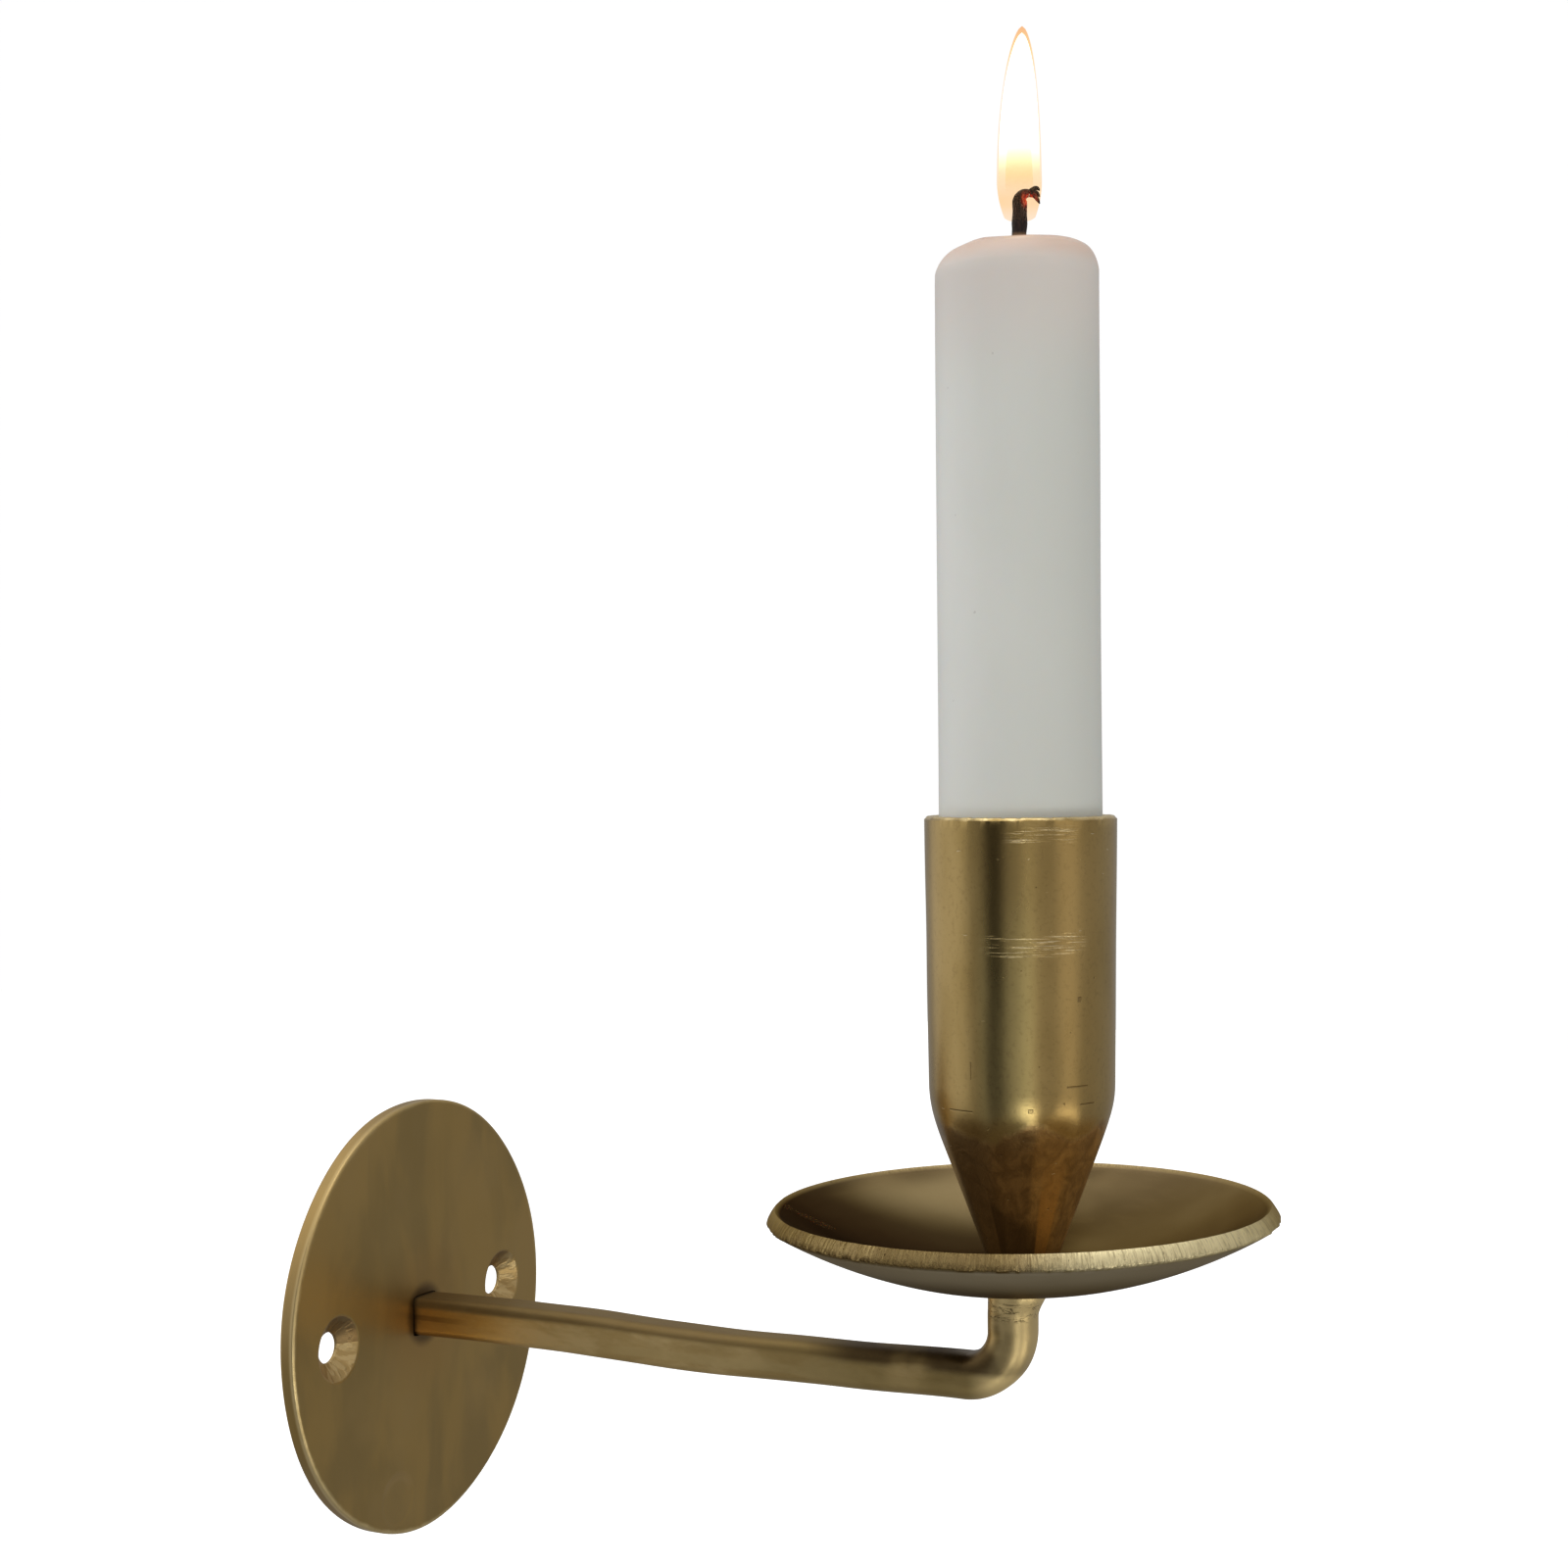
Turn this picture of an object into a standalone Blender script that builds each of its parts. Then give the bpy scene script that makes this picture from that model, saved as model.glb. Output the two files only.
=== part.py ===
"""Hand-forged brass wall sconce for one candle, in metres.

The origin is the middle of the wall plate's back face. +Z is up, the wall is the plane Y = 0 and
the arm reaches out along -Y. From the wall outwards the pieces are the round wall plate, the bar
that is riveted through it and turns up, the drip dish, the cup that stands in the dish, and the
screw and washer inside the cup that hold cup, dish and bar together. The candle stands in the cup
with its wick and flame, and lifts out.
"""

import math

import bpy
from mathutils import Matrix, Vector

# Driving dimensions
PLATE_RADIUS = 0.0326
PLATE_THICKNESS = 0.0025
REACH = 0.0995
BAR_SIZE = 0.0058
DISH_RIM_RADIUS = 0.0345
DISH_THICKNESS = 0.0021
DISH_UNDERSIDE_Z = 0.0125
CUP_RIM_RADIUS = 0.0128
CUP_RIM_Z = 0.0763
CUP_WALL = 0.0013
CANDLE_RADIUS = 0.0110
CANDLE_TOP_Z = 0.1528
GAP = 0.0003

# Wall plate
PLATE_SEGMENTS = 72
PLATE_EDGE_ROUND = 0.0004
SCREW_HOLE_OFFSET = 0.0218
SCREW_HOLE_RADIUS = 0.0024
SCREW_HOLE_TURN = math.radians(2)
SCREW_HOLE_MOUTH_RADIUS = 0.0047
CUT_EXTRA = 0.001

# Bar: the rivet head at its back end, then the wave that hammering left in it
RIVET_SPREAD = 0.0008
RIVET_DEPTH = 0.0012
BAR_WAVE = 0.00012
BAR_WAVES = 1.6
BAR_DROP = 0.00065
BAR_DROP_START, BAR_DROP_SPAN = 0.28, 0.34
BAR_END_GROWTH_START = 0.75
BEND_LIFT_START = 0.8
BEND_RADIUS = 0.0064
BEND_LIFT = 0.0005
BEND_SQUEEZE = 0.0004
UPRIGHT_SIZE = 0.0064
UPRIGHT_SET_BACK = 0.0015
UPRIGHT_TOP_SIZE = 0.0076
UPRIGHT_TOP_SET_BACK = 0.0007
UPRIGHT_STATIONS = (0.35, 0.6, 0.8, 0.93, 1.0)
BAR_SIDES = 32
BAR_STEPS = 16
BEND_STEPS = 8
SQUARE, SOFT = 9.0, 4.2

# Drip dish: a disc of sheet pressed to part of a sphere
DISH_CURVE_RADIUS = 0.0665
DISH_HOLE_RADIUS = 0.0016
DISH_TILT_OUT = math.radians(0.9)
DISH_TILT_SIDE = math.radians(0.7)
DISH_SEGMENTS = 64

# Cup: a slightly tapered tube whose lower end is hammered to a cone of flats
CUP_DISH_GAP = 0.0004
CUP_FOOT_Z = DISH_UNDERSIDE_Z + DISH_THICKNESS + CUP_DISH_GAP
CUP_FOOT_RADIUS = 0.0043
CUP_SHOULDER_RADIUS = 0.0124
CUP_SHOULDER_Z = 0.0405
CUP_CONE_START_Z = 0.0318
CUP_CONE_START_RADIUS = 0.0107
CUP_FLATS = 10
CUP_ROUND_SHARE = 1.01
CUP_FLAT_SHARE = 0.985
CUP_LIP_ROUND = 0.0003
CUP_LEDGE_STEP = 0.0008
CUP_FLOOR_Z = 0.0205
CUP_LEDGE_Z = 0.0410
CUP_SEGMENTS = 60

# Screw M2 and washer in the foot of the cup, short and slim enough to stay inside the upright
SCREW_RADIUS = 0.0010
SCREW_HEAD_RADIUS = 0.0024
SCREW_HEAD_HEIGHT = 0.0018
SCREW_REACH_IN_BAR = 0.0040
SCREW_SLOT_WIDTH = 0.0007
SCREW_SLOT_DEPTH = 0.0008
SCREW_TIP_CHAMFER = 0.0003
WASHER_RADIUS = 0.0039
WASHER_THICKNESS = 0.0006

# Candle, wick and flame
CANDLE_FOOT_Z = 0.0416
CANDLE_SHOULDER = 0.0030
CANDLE_FOOT_CHAMFER = 0.0006
CANDLE_POOL_RADIUS = 0.0074
CANDLE_POOL_DEPTH = 0.0006
WICK_RADIUS = 0.0009
WICK_BEND_RADIUS = 0.0011
WICK_LEAN = 0.0001
WICK_TOP_Z = 0.1602
FLAME_BASE_Z = 0.1562
FLAME_TOP_Z = 0.1823
FLAME_RADIUS = 0.0031
FLAME_OFFSET = 0.0005
FLAME_MOUTH_RADIUS = 0.0021
FLAME_HOLLOW_TOP_Z = 0.1640
FLAME_HOLLOW = ((0.0013, 0.0008), (0.0022, 0.0030))
FLAME_WIDEST = 0.2


def material(name, colour, roughness, metallic):
    made = bpy.data.materials.new(name)
    made.use_nodes = True
    shader = made.node_tree.nodes["Principled BSDF"]
    shader.inputs["Base Color"].default_value = (*colour, 1.0)
    shader.inputs["Roughness"].default_value = roughness
    shader.inputs["Metallic"].default_value = metallic
    return made


def add_object(name, points, faces, look, location=(0, 0, 0)):
    mesh = bpy.data.meshes.new(name)
    mesh.from_pydata([tuple(p) for p in points], [], faces)
    mesh.update()
    mesh.shade_smooth()
    mesh.set_sharp_from_angle(angle=math.radians(35))
    mesh.materials.append(look)
    obj = bpy.data.objects.new(name, mesh)
    obj.location = location
    bpy.context.scene.collection.objects.link(obj)
    return obj


def skin_rings(rings, close):
    """Points and faces of a skin over rings of equal length: capped at both ends, or closed on itself."""
    count = len(rings[0])
    points = [p for ring in rings for p in ring]
    faces = []
    for i in range(len(rings) if close else len(rings) - 1):
        a, b = i * count, (i + 1) % len(rings) * count
        for k in range(count):
            n = (k + 1) % count
            faces.append((a + k, a + n, b + n, b + k))
    if not close:
        faces.append(tuple(reversed(range(count))))
        faces.append(tuple(range(len(points) - count, len(points))))
    return points, faces


def turned(name, profile, segments, look, location=(0, 0, 0)):
    """A closed outline of (radius, z), counter-clockwise, turned round Z. Points on the axis close it."""
    points, faces, ring_of = [], [], []
    for radius, z in profile:
        if radius < 1e-7:
            ring_of.append([len(points)] * segments)
            points.append(Vector((0, 0, z)))
            continue
        ring_of.append([len(points) + k for k in range(segments)])
        for k in range(segments):
            angle = 2 * math.pi * k / segments
            points.append(Vector((radius * math.cos(angle), radius * math.sin(angle), z)))
    for i, ring in enumerate(ring_of):
        above = ring_of[(i + 1) % len(ring_of)]
        for k in range(segments):
            n = (k + 1) % segments
            corners = [ring[k], ring[n], above[n], above[k]]
            kept = [c for j, c in enumerate(corners) if c != corners[j - 1]]
            if len(kept) > 2:
                faces.append(tuple(kept))
    return add_object(name, points, faces, look, location)


def arc(centre, radius, start, end, steps):
    """Points of an arc in (radius, z), with its angles in degrees from +radius towards +z."""
    found = []
    for i in range(steps + 1):
        angle = math.radians(start + (end - start) * i / steps)
        found.append((centre[0] + radius * math.cos(angle), centre[1] + radius * math.sin(angle)))
    return found


def cut(obj, cutter):
    cutter.hide_render = True
    cutter.display_type = "WIRE"
    modifier = obj.modifiers.new("Cut " + cutter.name, "BOOLEAN")
    modifier.operation = "DIFFERENCE"
    modifier.object = cutter


def eased(t):
    t = min(1.0, max(0.0, t))
    return t * t * (3 - 2 * t)


def rounded_square(half, power, sides):
    """Points of a square with soft corners, more square as power grows."""
    found = []
    for k in range(sides):
        angle = 2 * math.pi * (k + 0.5) / sides
        c, s = math.cos(angle), math.sin(angle)
        reach = (abs(c) ** power + abs(s) ** power) ** (-1 / power)
        found.append((half * reach * c, half * reach * s))
    return found


def make_wall_plate(look):
    """A disc on the wall, with a countersunk hole each side and a square hole for the bar."""
    e = PLATE_EDGE_ROUND
    outline = [(0, 0), *arc((PLATE_RADIUS - e, e), e, -90, 0, 3)]
    outline += [*arc((PLATE_RADIUS - e, PLATE_THICKNESS - e), e, 0, 90, 3), (0, PLATE_THICKNESS)]
    plate = turned("wall_plate", outline, PLATE_SEGMENTS, look)
    plate.rotation_euler = (math.pi / 2, 0, 0)

    mouth_depth = SCREW_HOLE_MOUTH_RADIUS - SCREW_HOLE_RADIUS
    hole = [(0, -CUT_EXTRA), (SCREW_HOLE_RADIUS, -CUT_EXTRA)]
    hole += [(SCREW_HOLE_RADIUS, PLATE_THICKNESS - mouth_depth)]
    mouth = SCREW_HOLE_MOUTH_RADIUS + CUT_EXTRA
    hole += [(mouth, PLATE_THICKNESS + CUT_EXTRA), (0, PLATE_THICKNESS + CUT_EXTRA)]
    for side in (-1, 1):
        along, up = math.cos(SCREW_HOLE_TURN) * side, math.sin(SCREW_HOLE_TURN) * side
        place = (SCREW_HOLE_OFFSET * along, 0, SCREW_HOLE_OFFSET * up)
        cutter = turned(f"screw_hole_{side}", hole, 40, look, place)
        cutter.rotation_euler = (math.pi / 2, 0, 0)
        cut(plate, cutter)

    straight = BAR_SIZE / 2 + GAP
    spread = straight + RIVET_SPREAD
    slope = RIVET_SPREAD / RIVET_DEPTH
    rings = []
    for y, half in (
        (CUT_EXTRA, spread + slope * CUT_EXTRA),
        (-RIVET_DEPTH - GAP, straight),
        (-PLATE_THICKNESS - CUT_EXTRA, straight),
    ):
        rings.append([Vector((u * half, y, v * half)) for u, v in ((1, 1), (-1, 1), (-1, -1), (1, -1))])
    cut(plate, add_object("bar_hole", *skin_rings(rings, close=False), look))
    return plate


def bar_stations():
    """(middle, direction, half size, squareness) along the bar, wall end first."""
    half = BAR_SIZE / 2
    stations = []
    for y, size in ((0, half + RIVET_SPREAD), (RIVET_DEPTH, half), (PLATE_THICKNESS, half)):
        stations.append((Vector((0, -y, 0)), Vector((0, -1, 0)), size, SQUARE))
    end = REACH - UPRIGHT_SET_BACK - BEND_RADIUS
    grown = UPRIGHT_SIZE / 2 - half
    for i in range(1, BAR_STEPS + 1):
        t = i / BAR_STEPS
        y = PLATE_THICKNESS + (end - PLATE_THICKNESS) * t
        wave = BAR_WAVE * math.sin(2 * math.pi * BAR_WAVES * t)
        drop = BAR_DROP * eased((t - BAR_DROP_START) / BAR_DROP_SPAN)
        lift = BEND_LIFT * eased((t - BEND_LIFT_START) / (1 - BEND_LIFT_START))
        z = wave - drop + lift
        late = eased((t - BAR_END_GROWTH_START) / (1 - BAR_END_GROWTH_START))
        size = half + grown * (0.4 * eased(t / 0.5) + 0.6 * late)
        stations.append((Vector((0, -y, z)), Vector((0, -1, 0)), size, SQUARE + (SOFT - SQUARE) * t))
    low = stations[-1][0].z
    centre = Vector((0, -end, low + BEND_RADIUS))
    for i in range(1, BEND_STEPS + 1):
        angle = math.pi / 2 * i / BEND_STEPS
        inwards = BEND_SQUEEZE * math.sin(2 * angle)
        middle = centre + (BEND_RADIUS - inwards) * Vector((0, -math.sin(angle), -math.cos(angle)))
        along = Vector((0, -math.cos(angle), math.sin(angle)))
        stations.append((middle, along, half + grown, SOFT))
    top = DISH_UNDERSIDE_Z - GAP
    foot = low + BEND_RADIUS
    for t in UPRIGHT_STATIONS:
        flare = eased((t - UPRIGHT_STATIONS[0]) / (1 - UPRIGHT_STATIONS[0]))
        y = REACH - UPRIGHT_SET_BACK + (UPRIGHT_SET_BACK - UPRIGHT_TOP_SET_BACK) * flare
        size = (UPRIGHT_SIZE + (UPRIGHT_TOP_SIZE - UPRIGHT_SIZE) * flare) / 2
        stations.append((Vector((0, -y, foot + (top - foot) * t)), Vector((0, 0, 1)), size, SOFT))
    return stations


def make_arm(look):
    """The bar: a rivet head flush with the plate's back, the straight, the bend and the tapped upright."""
    rings = []
    for middle, along, size, power in bar_stations():
        across = Vector((1, 0, 0))
        upward = along.cross(across)
        section = rounded_square(size, power, BAR_SIDES)
        rings.append([middle + across * u + upward * v for u, v in section])
    arm = add_object("arm", *skin_rings(rings, close=False), look)
    top = DISH_UNDERSIDE_Z - GAP
    bottom = top - SCREW_REACH_IN_BAR - 2 * GAP
    r = SCREW_RADIUS + GAP
    outline = [(0, bottom - r / 2), (r, bottom), (r, top + CUT_EXTRA), (0, top + CUT_EXTRA)]
    cut(arm, turned("tapped_hole", outline, 32, look, (0, -REACH, 0)))
    return arm


def make_drip_dish(look):
    """The middle of the sheet lies on a sphere, and its cut edge is square to the sheet."""
    centre = DISH_UNDERSIDE_Z + DISH_THICKNESS / 2 + DISH_CURVE_RADIUS
    outer = DISH_CURVE_RADIUS + DISH_THICKNESS / 2
    inner = DISH_CURVE_RADIUS - DISH_THICKNESS / 2
    edge = math.degrees(math.asin(DISH_RIM_RADIUS / outer))
    hole = math.degrees(math.asin(DISH_HOLE_RADIUS / outer))
    outline = arc((0, centre), outer, -90 + hole, -90 + edge, 9)
    outline += arc((0, centre), inner, -90 + edge, -90 + hole, 9)
    dish = turned("drip_dish", outline, DISH_SEGMENTS, look)
    middle = Vector((0, -REACH, DISH_UNDERSIDE_Z))
    tilt = Matrix.Rotation(-DISH_TILT_OUT, 4, "X") @ Matrix.Rotation(-DISH_TILT_SIDE, 4, "Y")
    dish.matrix_world = Matrix.Translation(middle) @ tilt @ Matrix.Translation((0, 0, -DISH_UNDERSIDE_Z))
    return dish


def cup_outer_radius(z, angle):
    """The cup's outside at a height and angle: a tube and a cone with a rounded shoulder, cut by the flats."""
    if z >= CUP_SHOULDER_Z:
        t = (z - CUP_SHOULDER_Z) / (CUP_RIM_Z - CUP_SHOULDER_Z)
        return CUP_SHOULDER_RADIUS + (CUP_RIM_RADIUS - CUP_SHOULDER_RADIUS) * t
    slope = (CUP_CONE_START_RADIUS - CUP_FOOT_RADIUS) / (CUP_CONE_START_Z - CUP_FOOT_Z)
    if z >= CUP_CONE_START_Z:
        span = CUP_SHOULDER_Z - CUP_CONE_START_Z
        t = (CUP_SHOULDER_Z - z) / span
        drop = CUP_SHOULDER_RADIUS - CUP_CONE_START_RADIUS
        sharpness = slope * span / drop
        round_radius = CUP_SHOULDER_RADIUS - drop * t**sharpness
    else:
        round_radius = CUP_CONE_START_RADIUS - slope * (CUP_CONE_START_Z - z)
    step = 2 * math.pi / CUP_FLATS
    from_middle = (angle + step / 2) % step - step / 2
    flat = (CUP_CONE_START_RADIUS - slope * (CUP_CONE_START_Z - z)) / math.cos(from_middle)
    return min(round_radius * CUP_ROUND_SHARE, flat * CUP_FLAT_SHARE)


def make_candle_cup(look):
    """A tube with a hammered cone below, hollow down to the floor that the screw clamps."""
    cone = CUP_CONE_START_Z - CUP_FOOT_Z
    heights = [CUP_FOOT_Z + cone * i / 6 for i in range(7)]
    heights += [CUP_CONE_START_Z + (CUP_SHOULDER_Z - CUP_CONE_START_Z) * i / 7 for i in range(1, 8)]
    heights += [CUP_SHOULDER_Z + (CUP_RIM_Z - CUP_LIP_ROUND - CUP_SHOULDER_Z) * i / 4 for i in range(1, 5)]
    hole = SCREW_RADIUS + GAP
    floor_radius = CUP_FOOT_RADIUS + CUP_DISH_GAP
    bore = CUP_RIM_RADIUS - CUP_WALL
    ledge = CUP_SHOULDER_RADIUS - CUP_WALL + 0.0001
    inside = [
        (bore + 0.0001, CUP_RIM_Z),
        (bore, CUP_RIM_Z - CUP_LIP_ROUND),
        (ledge, CUP_LEDGE_Z + CUP_LEDGE_STEP),
        (ledge - CUP_LEDGE_STEP, CUP_LEDGE_Z - CUP_LEDGE_STEP),
        (floor_radius, CUP_FLOOR_Z),
        (hole, CUP_FLOOR_Z),
        (hole, CUP_FOOT_Z),
    ]
    rings = []
    for z in heights:
        angles = [2 * math.pi * k / CUP_SEGMENTS for k in range(CUP_SEGMENTS)]
        radii = [cup_outer_radius(z, a) for a in angles]
        rings.append([Vector((r * math.cos(a), r * math.sin(a), z)) for r, a in zip(radii, angles)])
    for r, z in [(CUP_RIM_RADIUS - CUP_LIP_ROUND, CUP_RIM_Z), *inside]:
        angles = [2 * math.pi * k / CUP_SEGMENTS for k in range(CUP_SEGMENTS)]
        rings.append([Vector((r * math.cos(a), r * math.sin(a), z)) for a in angles])
    return add_object("candle_cup", *skin_rings(rings, close=True), look, (0, -REACH, 0))


def make_cup_screw(look):
    """A slotted pan-head screw, head down in the cup's foot."""
    seat = CUP_FLOOR_Z + WASHER_THICKNESS + 2 * GAP
    end = DISH_UNDERSIDE_Z - GAP - SCREW_REACH_IN_BAR
    outline = [(0, end), (SCREW_RADIUS - SCREW_TIP_CHAMFER, end), (SCREW_RADIUS, end + SCREW_TIP_CHAMFER)]
    outline += [(SCREW_RADIUS, seat)]
    outline += [(SCREW_HEAD_RADIUS, seat), (SCREW_HEAD_RADIUS, seat + SCREW_HEAD_HEIGHT * 0.45)]
    outline += [(SCREW_HEAD_RADIUS * 0.72, seat + SCREW_HEAD_HEIGHT * 0.9), (0, seat + SCREW_HEAD_HEIGHT)]
    screw = turned("cup_screw", outline, 24, look, (0, -REACH, 0))
    low, high = seat + SCREW_HEAD_HEIGHT - SCREW_SLOT_DEPTH, seat + SCREW_HEAD_HEIGHT + CUT_EXTRA
    half, width = SCREW_HEAD_RADIUS + CUT_EXTRA, SCREW_SLOT_WIDTH / 2
    corners = ((1, 1), (-1, 1), (-1, -1), (1, -1))
    rings = [[Vector((u * half, v * width, z)) for u, v in corners] for z in (low, high)]
    cut(screw, add_object("screw_slot", *skin_rings(rings, close=False), look, (0, -REACH, 0)))
    return screw


def make_washer(look):
    low, high = CUP_FLOOR_Z + GAP, CUP_FLOOR_Z + GAP + WASHER_THICKNESS
    hole = SCREW_RADIUS + GAP
    outline = [(hole, low), (WASHER_RADIUS, low), (WASHER_RADIUS, high), (hole, high)]
    return turned("cup_washer", outline, 32, look, (0, -REACH, 0))


def make_candle(look):
    """A straight candle with soft shoulders, and a channel for the wick from top to foot."""
    channel = WICK_RADIUS + GAP
    wide = CANDLE_RADIUS + 0.0001
    s = CANDLE_SHOULDER
    outline = [(channel, CANDLE_FOOT_Z), (CANDLE_RADIUS - CANDLE_FOOT_CHAMFER, CANDLE_FOOT_Z)]
    outline += [(CANDLE_RADIUS, CANDLE_FOOT_Z + CANDLE_FOOT_CHAMFER), (CANDLE_RADIUS, CUP_RIM_Z)]
    outline += arc((wide - s, CANDLE_TOP_Z - s), s, 0, 90, 6)
    outline += [(CANDLE_POOL_RADIUS - 0.0008, CANDLE_TOP_Z - 0.0001)]
    outline += [(CANDLE_POOL_RADIUS - 0.0028, CANDLE_TOP_Z - CANDLE_POOL_DEPTH)]
    outline += [(channel, CANDLE_TOP_Z - CANDLE_POOL_DEPTH)]
    return turned("candle", outline, 48, look, (0, -REACH, 0))


def make_wick(look):
    """A braided cord up the middle of the candle, its burnt end bent over."""
    foot = CANDLE_FOOT_Z + GAP
    bend = WICK_BEND_RADIUS
    top = WICK_TOP_Z - WICK_RADIUS
    stations = [(Vector((0, 0, foot)), Vector((0, 0, 1))), (Vector((0, 0, CANDLE_TOP_Z)), Vector((0, 0, 1)))]
    stations.append((Vector((0, -WICK_LEAN, top - 2 * bend)), Vector((0, 0, 1))))
    centre = Vector((0, -WICK_LEAN - bend, top - bend))
    for i in range(6):
        angle = math.radians(100) * i / 5
        middle = centre + bend * Vector((0, math.cos(angle), math.sin(angle)))
        stations.append((middle, Vector((0, -math.sin(angle), math.cos(angle)))))
    last, along = stations[-1]
    stations.append((last + along * WICK_RADIUS, along))
    rings = []
    for middle, along in stations:
        across = Vector((1, 0, 0))
        upward = along.cross(across)
        section = rounded_square(WICK_RADIUS, 2, 16)
        rings.append([middle + across * u + upward * v for u, v in section])
    return add_object("wick", *skin_rings(rings, close=False), look, (0, -REACH, 0))


def make_flame(look):
    """The burning gas: a tall drop, hollow round the wick and open below."""
    height = FLAME_TOP_Z - FLAME_BASE_Z
    steps = 12
    outline = [(0, FLAME_HOLLOW_TOP_Z)]
    outline += [(radius, FLAME_HOLLOW_TOP_Z - below) for radius, below in FLAME_HOLLOW]
    outline += [(FLAME_MOUTH_RADIUS, FLAME_BASE_Z)]
    for i in range(steps):
        t = i / steps
        if t < FLAME_WIDEST:
            full = math.sin(math.pi / 2 * (t + 0.16) / (FLAME_WIDEST + 0.16))
        else:
            full = math.cos(math.pi / 2 * (t - FLAME_WIDEST) / (1 - FLAME_WIDEST))
        radius = FLAME_RADIUS * full**0.85
        outline.append((max(radius, FLAME_MOUTH_RADIUS + 0.0001 if t == 0 else 0), FLAME_BASE_Z + height * t))
    outline.append((0, FLAME_TOP_Z))
    return turned("flame", outline, 24, look, (0, -REACH - FLAME_OFFSET, 0))


def main():
    for obj in list(bpy.data.objects):
        bpy.data.objects.remove(obj)
    brass = material("brass", (0.36, 0.24, 0.09), 0.42, 1.0)
    screw_brass = material("screw_brass", (0.50, 0.36, 0.14), 0.35, 1.0)
    wax = material("wax", (0.80, 0.80, 0.75), 0.45, 0.0)
    char = material("char", (0.02, 0.015, 0.015), 0.9, 0.0)
    fire = material("fire", (1.0, 0.75, 0.35), 0.8, 0.0)
    make_wall_plate(brass)
    make_arm(brass)
    make_drip_dish(brass)
    make_candle_cup(brass)
    make_cup_screw(screw_brass)
    make_washer(screw_brass)
    make_candle(wax)
    make_wick(char)
    make_flame(fire)


main()
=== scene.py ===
"""The looks of a hand-forged brass candle sconce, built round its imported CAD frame.

The row frame is used throughout, in metres: the wall is the plane Y = 0, the arm reaches out along
-Y and +Z is up. Each visible piece is a fine mesh in the place of its CAD node.
"""

import math

import bpy
from mathutils import Matrix, Vector, noise


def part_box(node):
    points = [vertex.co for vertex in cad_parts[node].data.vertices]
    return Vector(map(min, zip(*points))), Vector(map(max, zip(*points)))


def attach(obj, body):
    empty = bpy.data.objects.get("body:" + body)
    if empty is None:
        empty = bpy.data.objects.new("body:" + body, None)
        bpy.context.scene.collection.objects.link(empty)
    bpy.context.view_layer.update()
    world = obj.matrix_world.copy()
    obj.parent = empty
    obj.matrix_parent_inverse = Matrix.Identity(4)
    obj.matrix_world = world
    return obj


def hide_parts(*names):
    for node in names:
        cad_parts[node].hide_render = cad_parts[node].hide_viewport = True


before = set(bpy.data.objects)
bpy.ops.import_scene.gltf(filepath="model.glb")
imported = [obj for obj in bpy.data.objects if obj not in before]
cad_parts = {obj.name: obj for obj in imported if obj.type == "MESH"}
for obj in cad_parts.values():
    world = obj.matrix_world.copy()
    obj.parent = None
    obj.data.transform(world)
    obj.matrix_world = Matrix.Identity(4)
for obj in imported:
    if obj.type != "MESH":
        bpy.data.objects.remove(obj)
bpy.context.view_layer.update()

MM = 0.001

# Places read from the frame
PLATE_LOW, PLATE_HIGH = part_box("wall_plate")
ARM_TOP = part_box("arm")[1].z
CUP_LOW, CUP_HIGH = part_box("candle_cup")
CUP_FOOT, CUP_TOP = CUP_LOW.z, CUP_HIGH.z
CANDLE_FOOT, CANDLE_TOP = (corner.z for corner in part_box("candle"))
WICK_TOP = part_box("wick")[1].z
FLAME_FOOT, FLAME_TOP = (corner.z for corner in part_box("flame"))
AXIS_Y = (CUP_LOW.y + CUP_HIGH.y) / 2
REACH = -AXIS_Y
PLATE_RADIUS = PLATE_HIGH.x
PLATE_THICKNESS = -PLATE_LOW.y
CUP_RIM_RADIUS = CUP_HIGH.x
CANDLE_RADIUS = 11.0 * MM

# Where the camera stands, and the side of the cup that faces it
CAMERA_PLACE = Vector((-0.3133, -0.2169, 0.0842))
CAMERA_AZIMUTH = math.radians(-64.0)
CAMERA_DOWN = math.radians(0.6)
CAMERA_ROLL = math.radians(-0.42)
CAMERA_LENS_MM = 56.7
# The same side as a turn about the cup's axis, from -X towards -Y
CAMERA_TURN = 0.36

# The screw holes lie on a line through the plate's middle
HOLE_OFFSET = 21.8 * MM
HOLE_TURN = math.radians(2)
HOLE_BORE = 2.25 * MM
HOLE_MOUTH = 4.7 * MM


# Meshes


def eased(t):
    t = min(1.0, max(0.0, t))
    return t * t * (3 - 2 * t)


def grain(*place):
    """Smooth noise from -1 to 1 at a place."""
    return noise.noise(Vector(place))


def circle(count):
    """The angles of count points round a circle."""
    return [2 * math.pi * k / count for k in range(count)]


def quarter(steps):
    """The angles of a quarter turn, both ends included."""
    return [math.pi / 2 * i / steps for i in range(steps + 1)]


def plain_mesh(name, points, faces):
    mesh = bpy.data.meshes.new(name)
    mesh.from_pydata([tuple(p) for p in points], [], faces)
    made = bpy.data.objects.new(name, mesh)
    bpy.context.scene.collection.objects.link(made)
    return made


def add_piece(name, points, faces, look, body, node, sharp=None):
    """A smooth mesh object that rides on a body and may stand for a CAD node."""
    piece = plain_mesh(name, points, faces)
    piece.data.update()
    piece.data.shade_smooth()
    if sharp:
        piece.data.set_sharp_from_angle(angle=math.radians(sharp))
    piece.data.materials.append(look)
    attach(piece, body)
    if node:
        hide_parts(node)
    return piece


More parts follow.
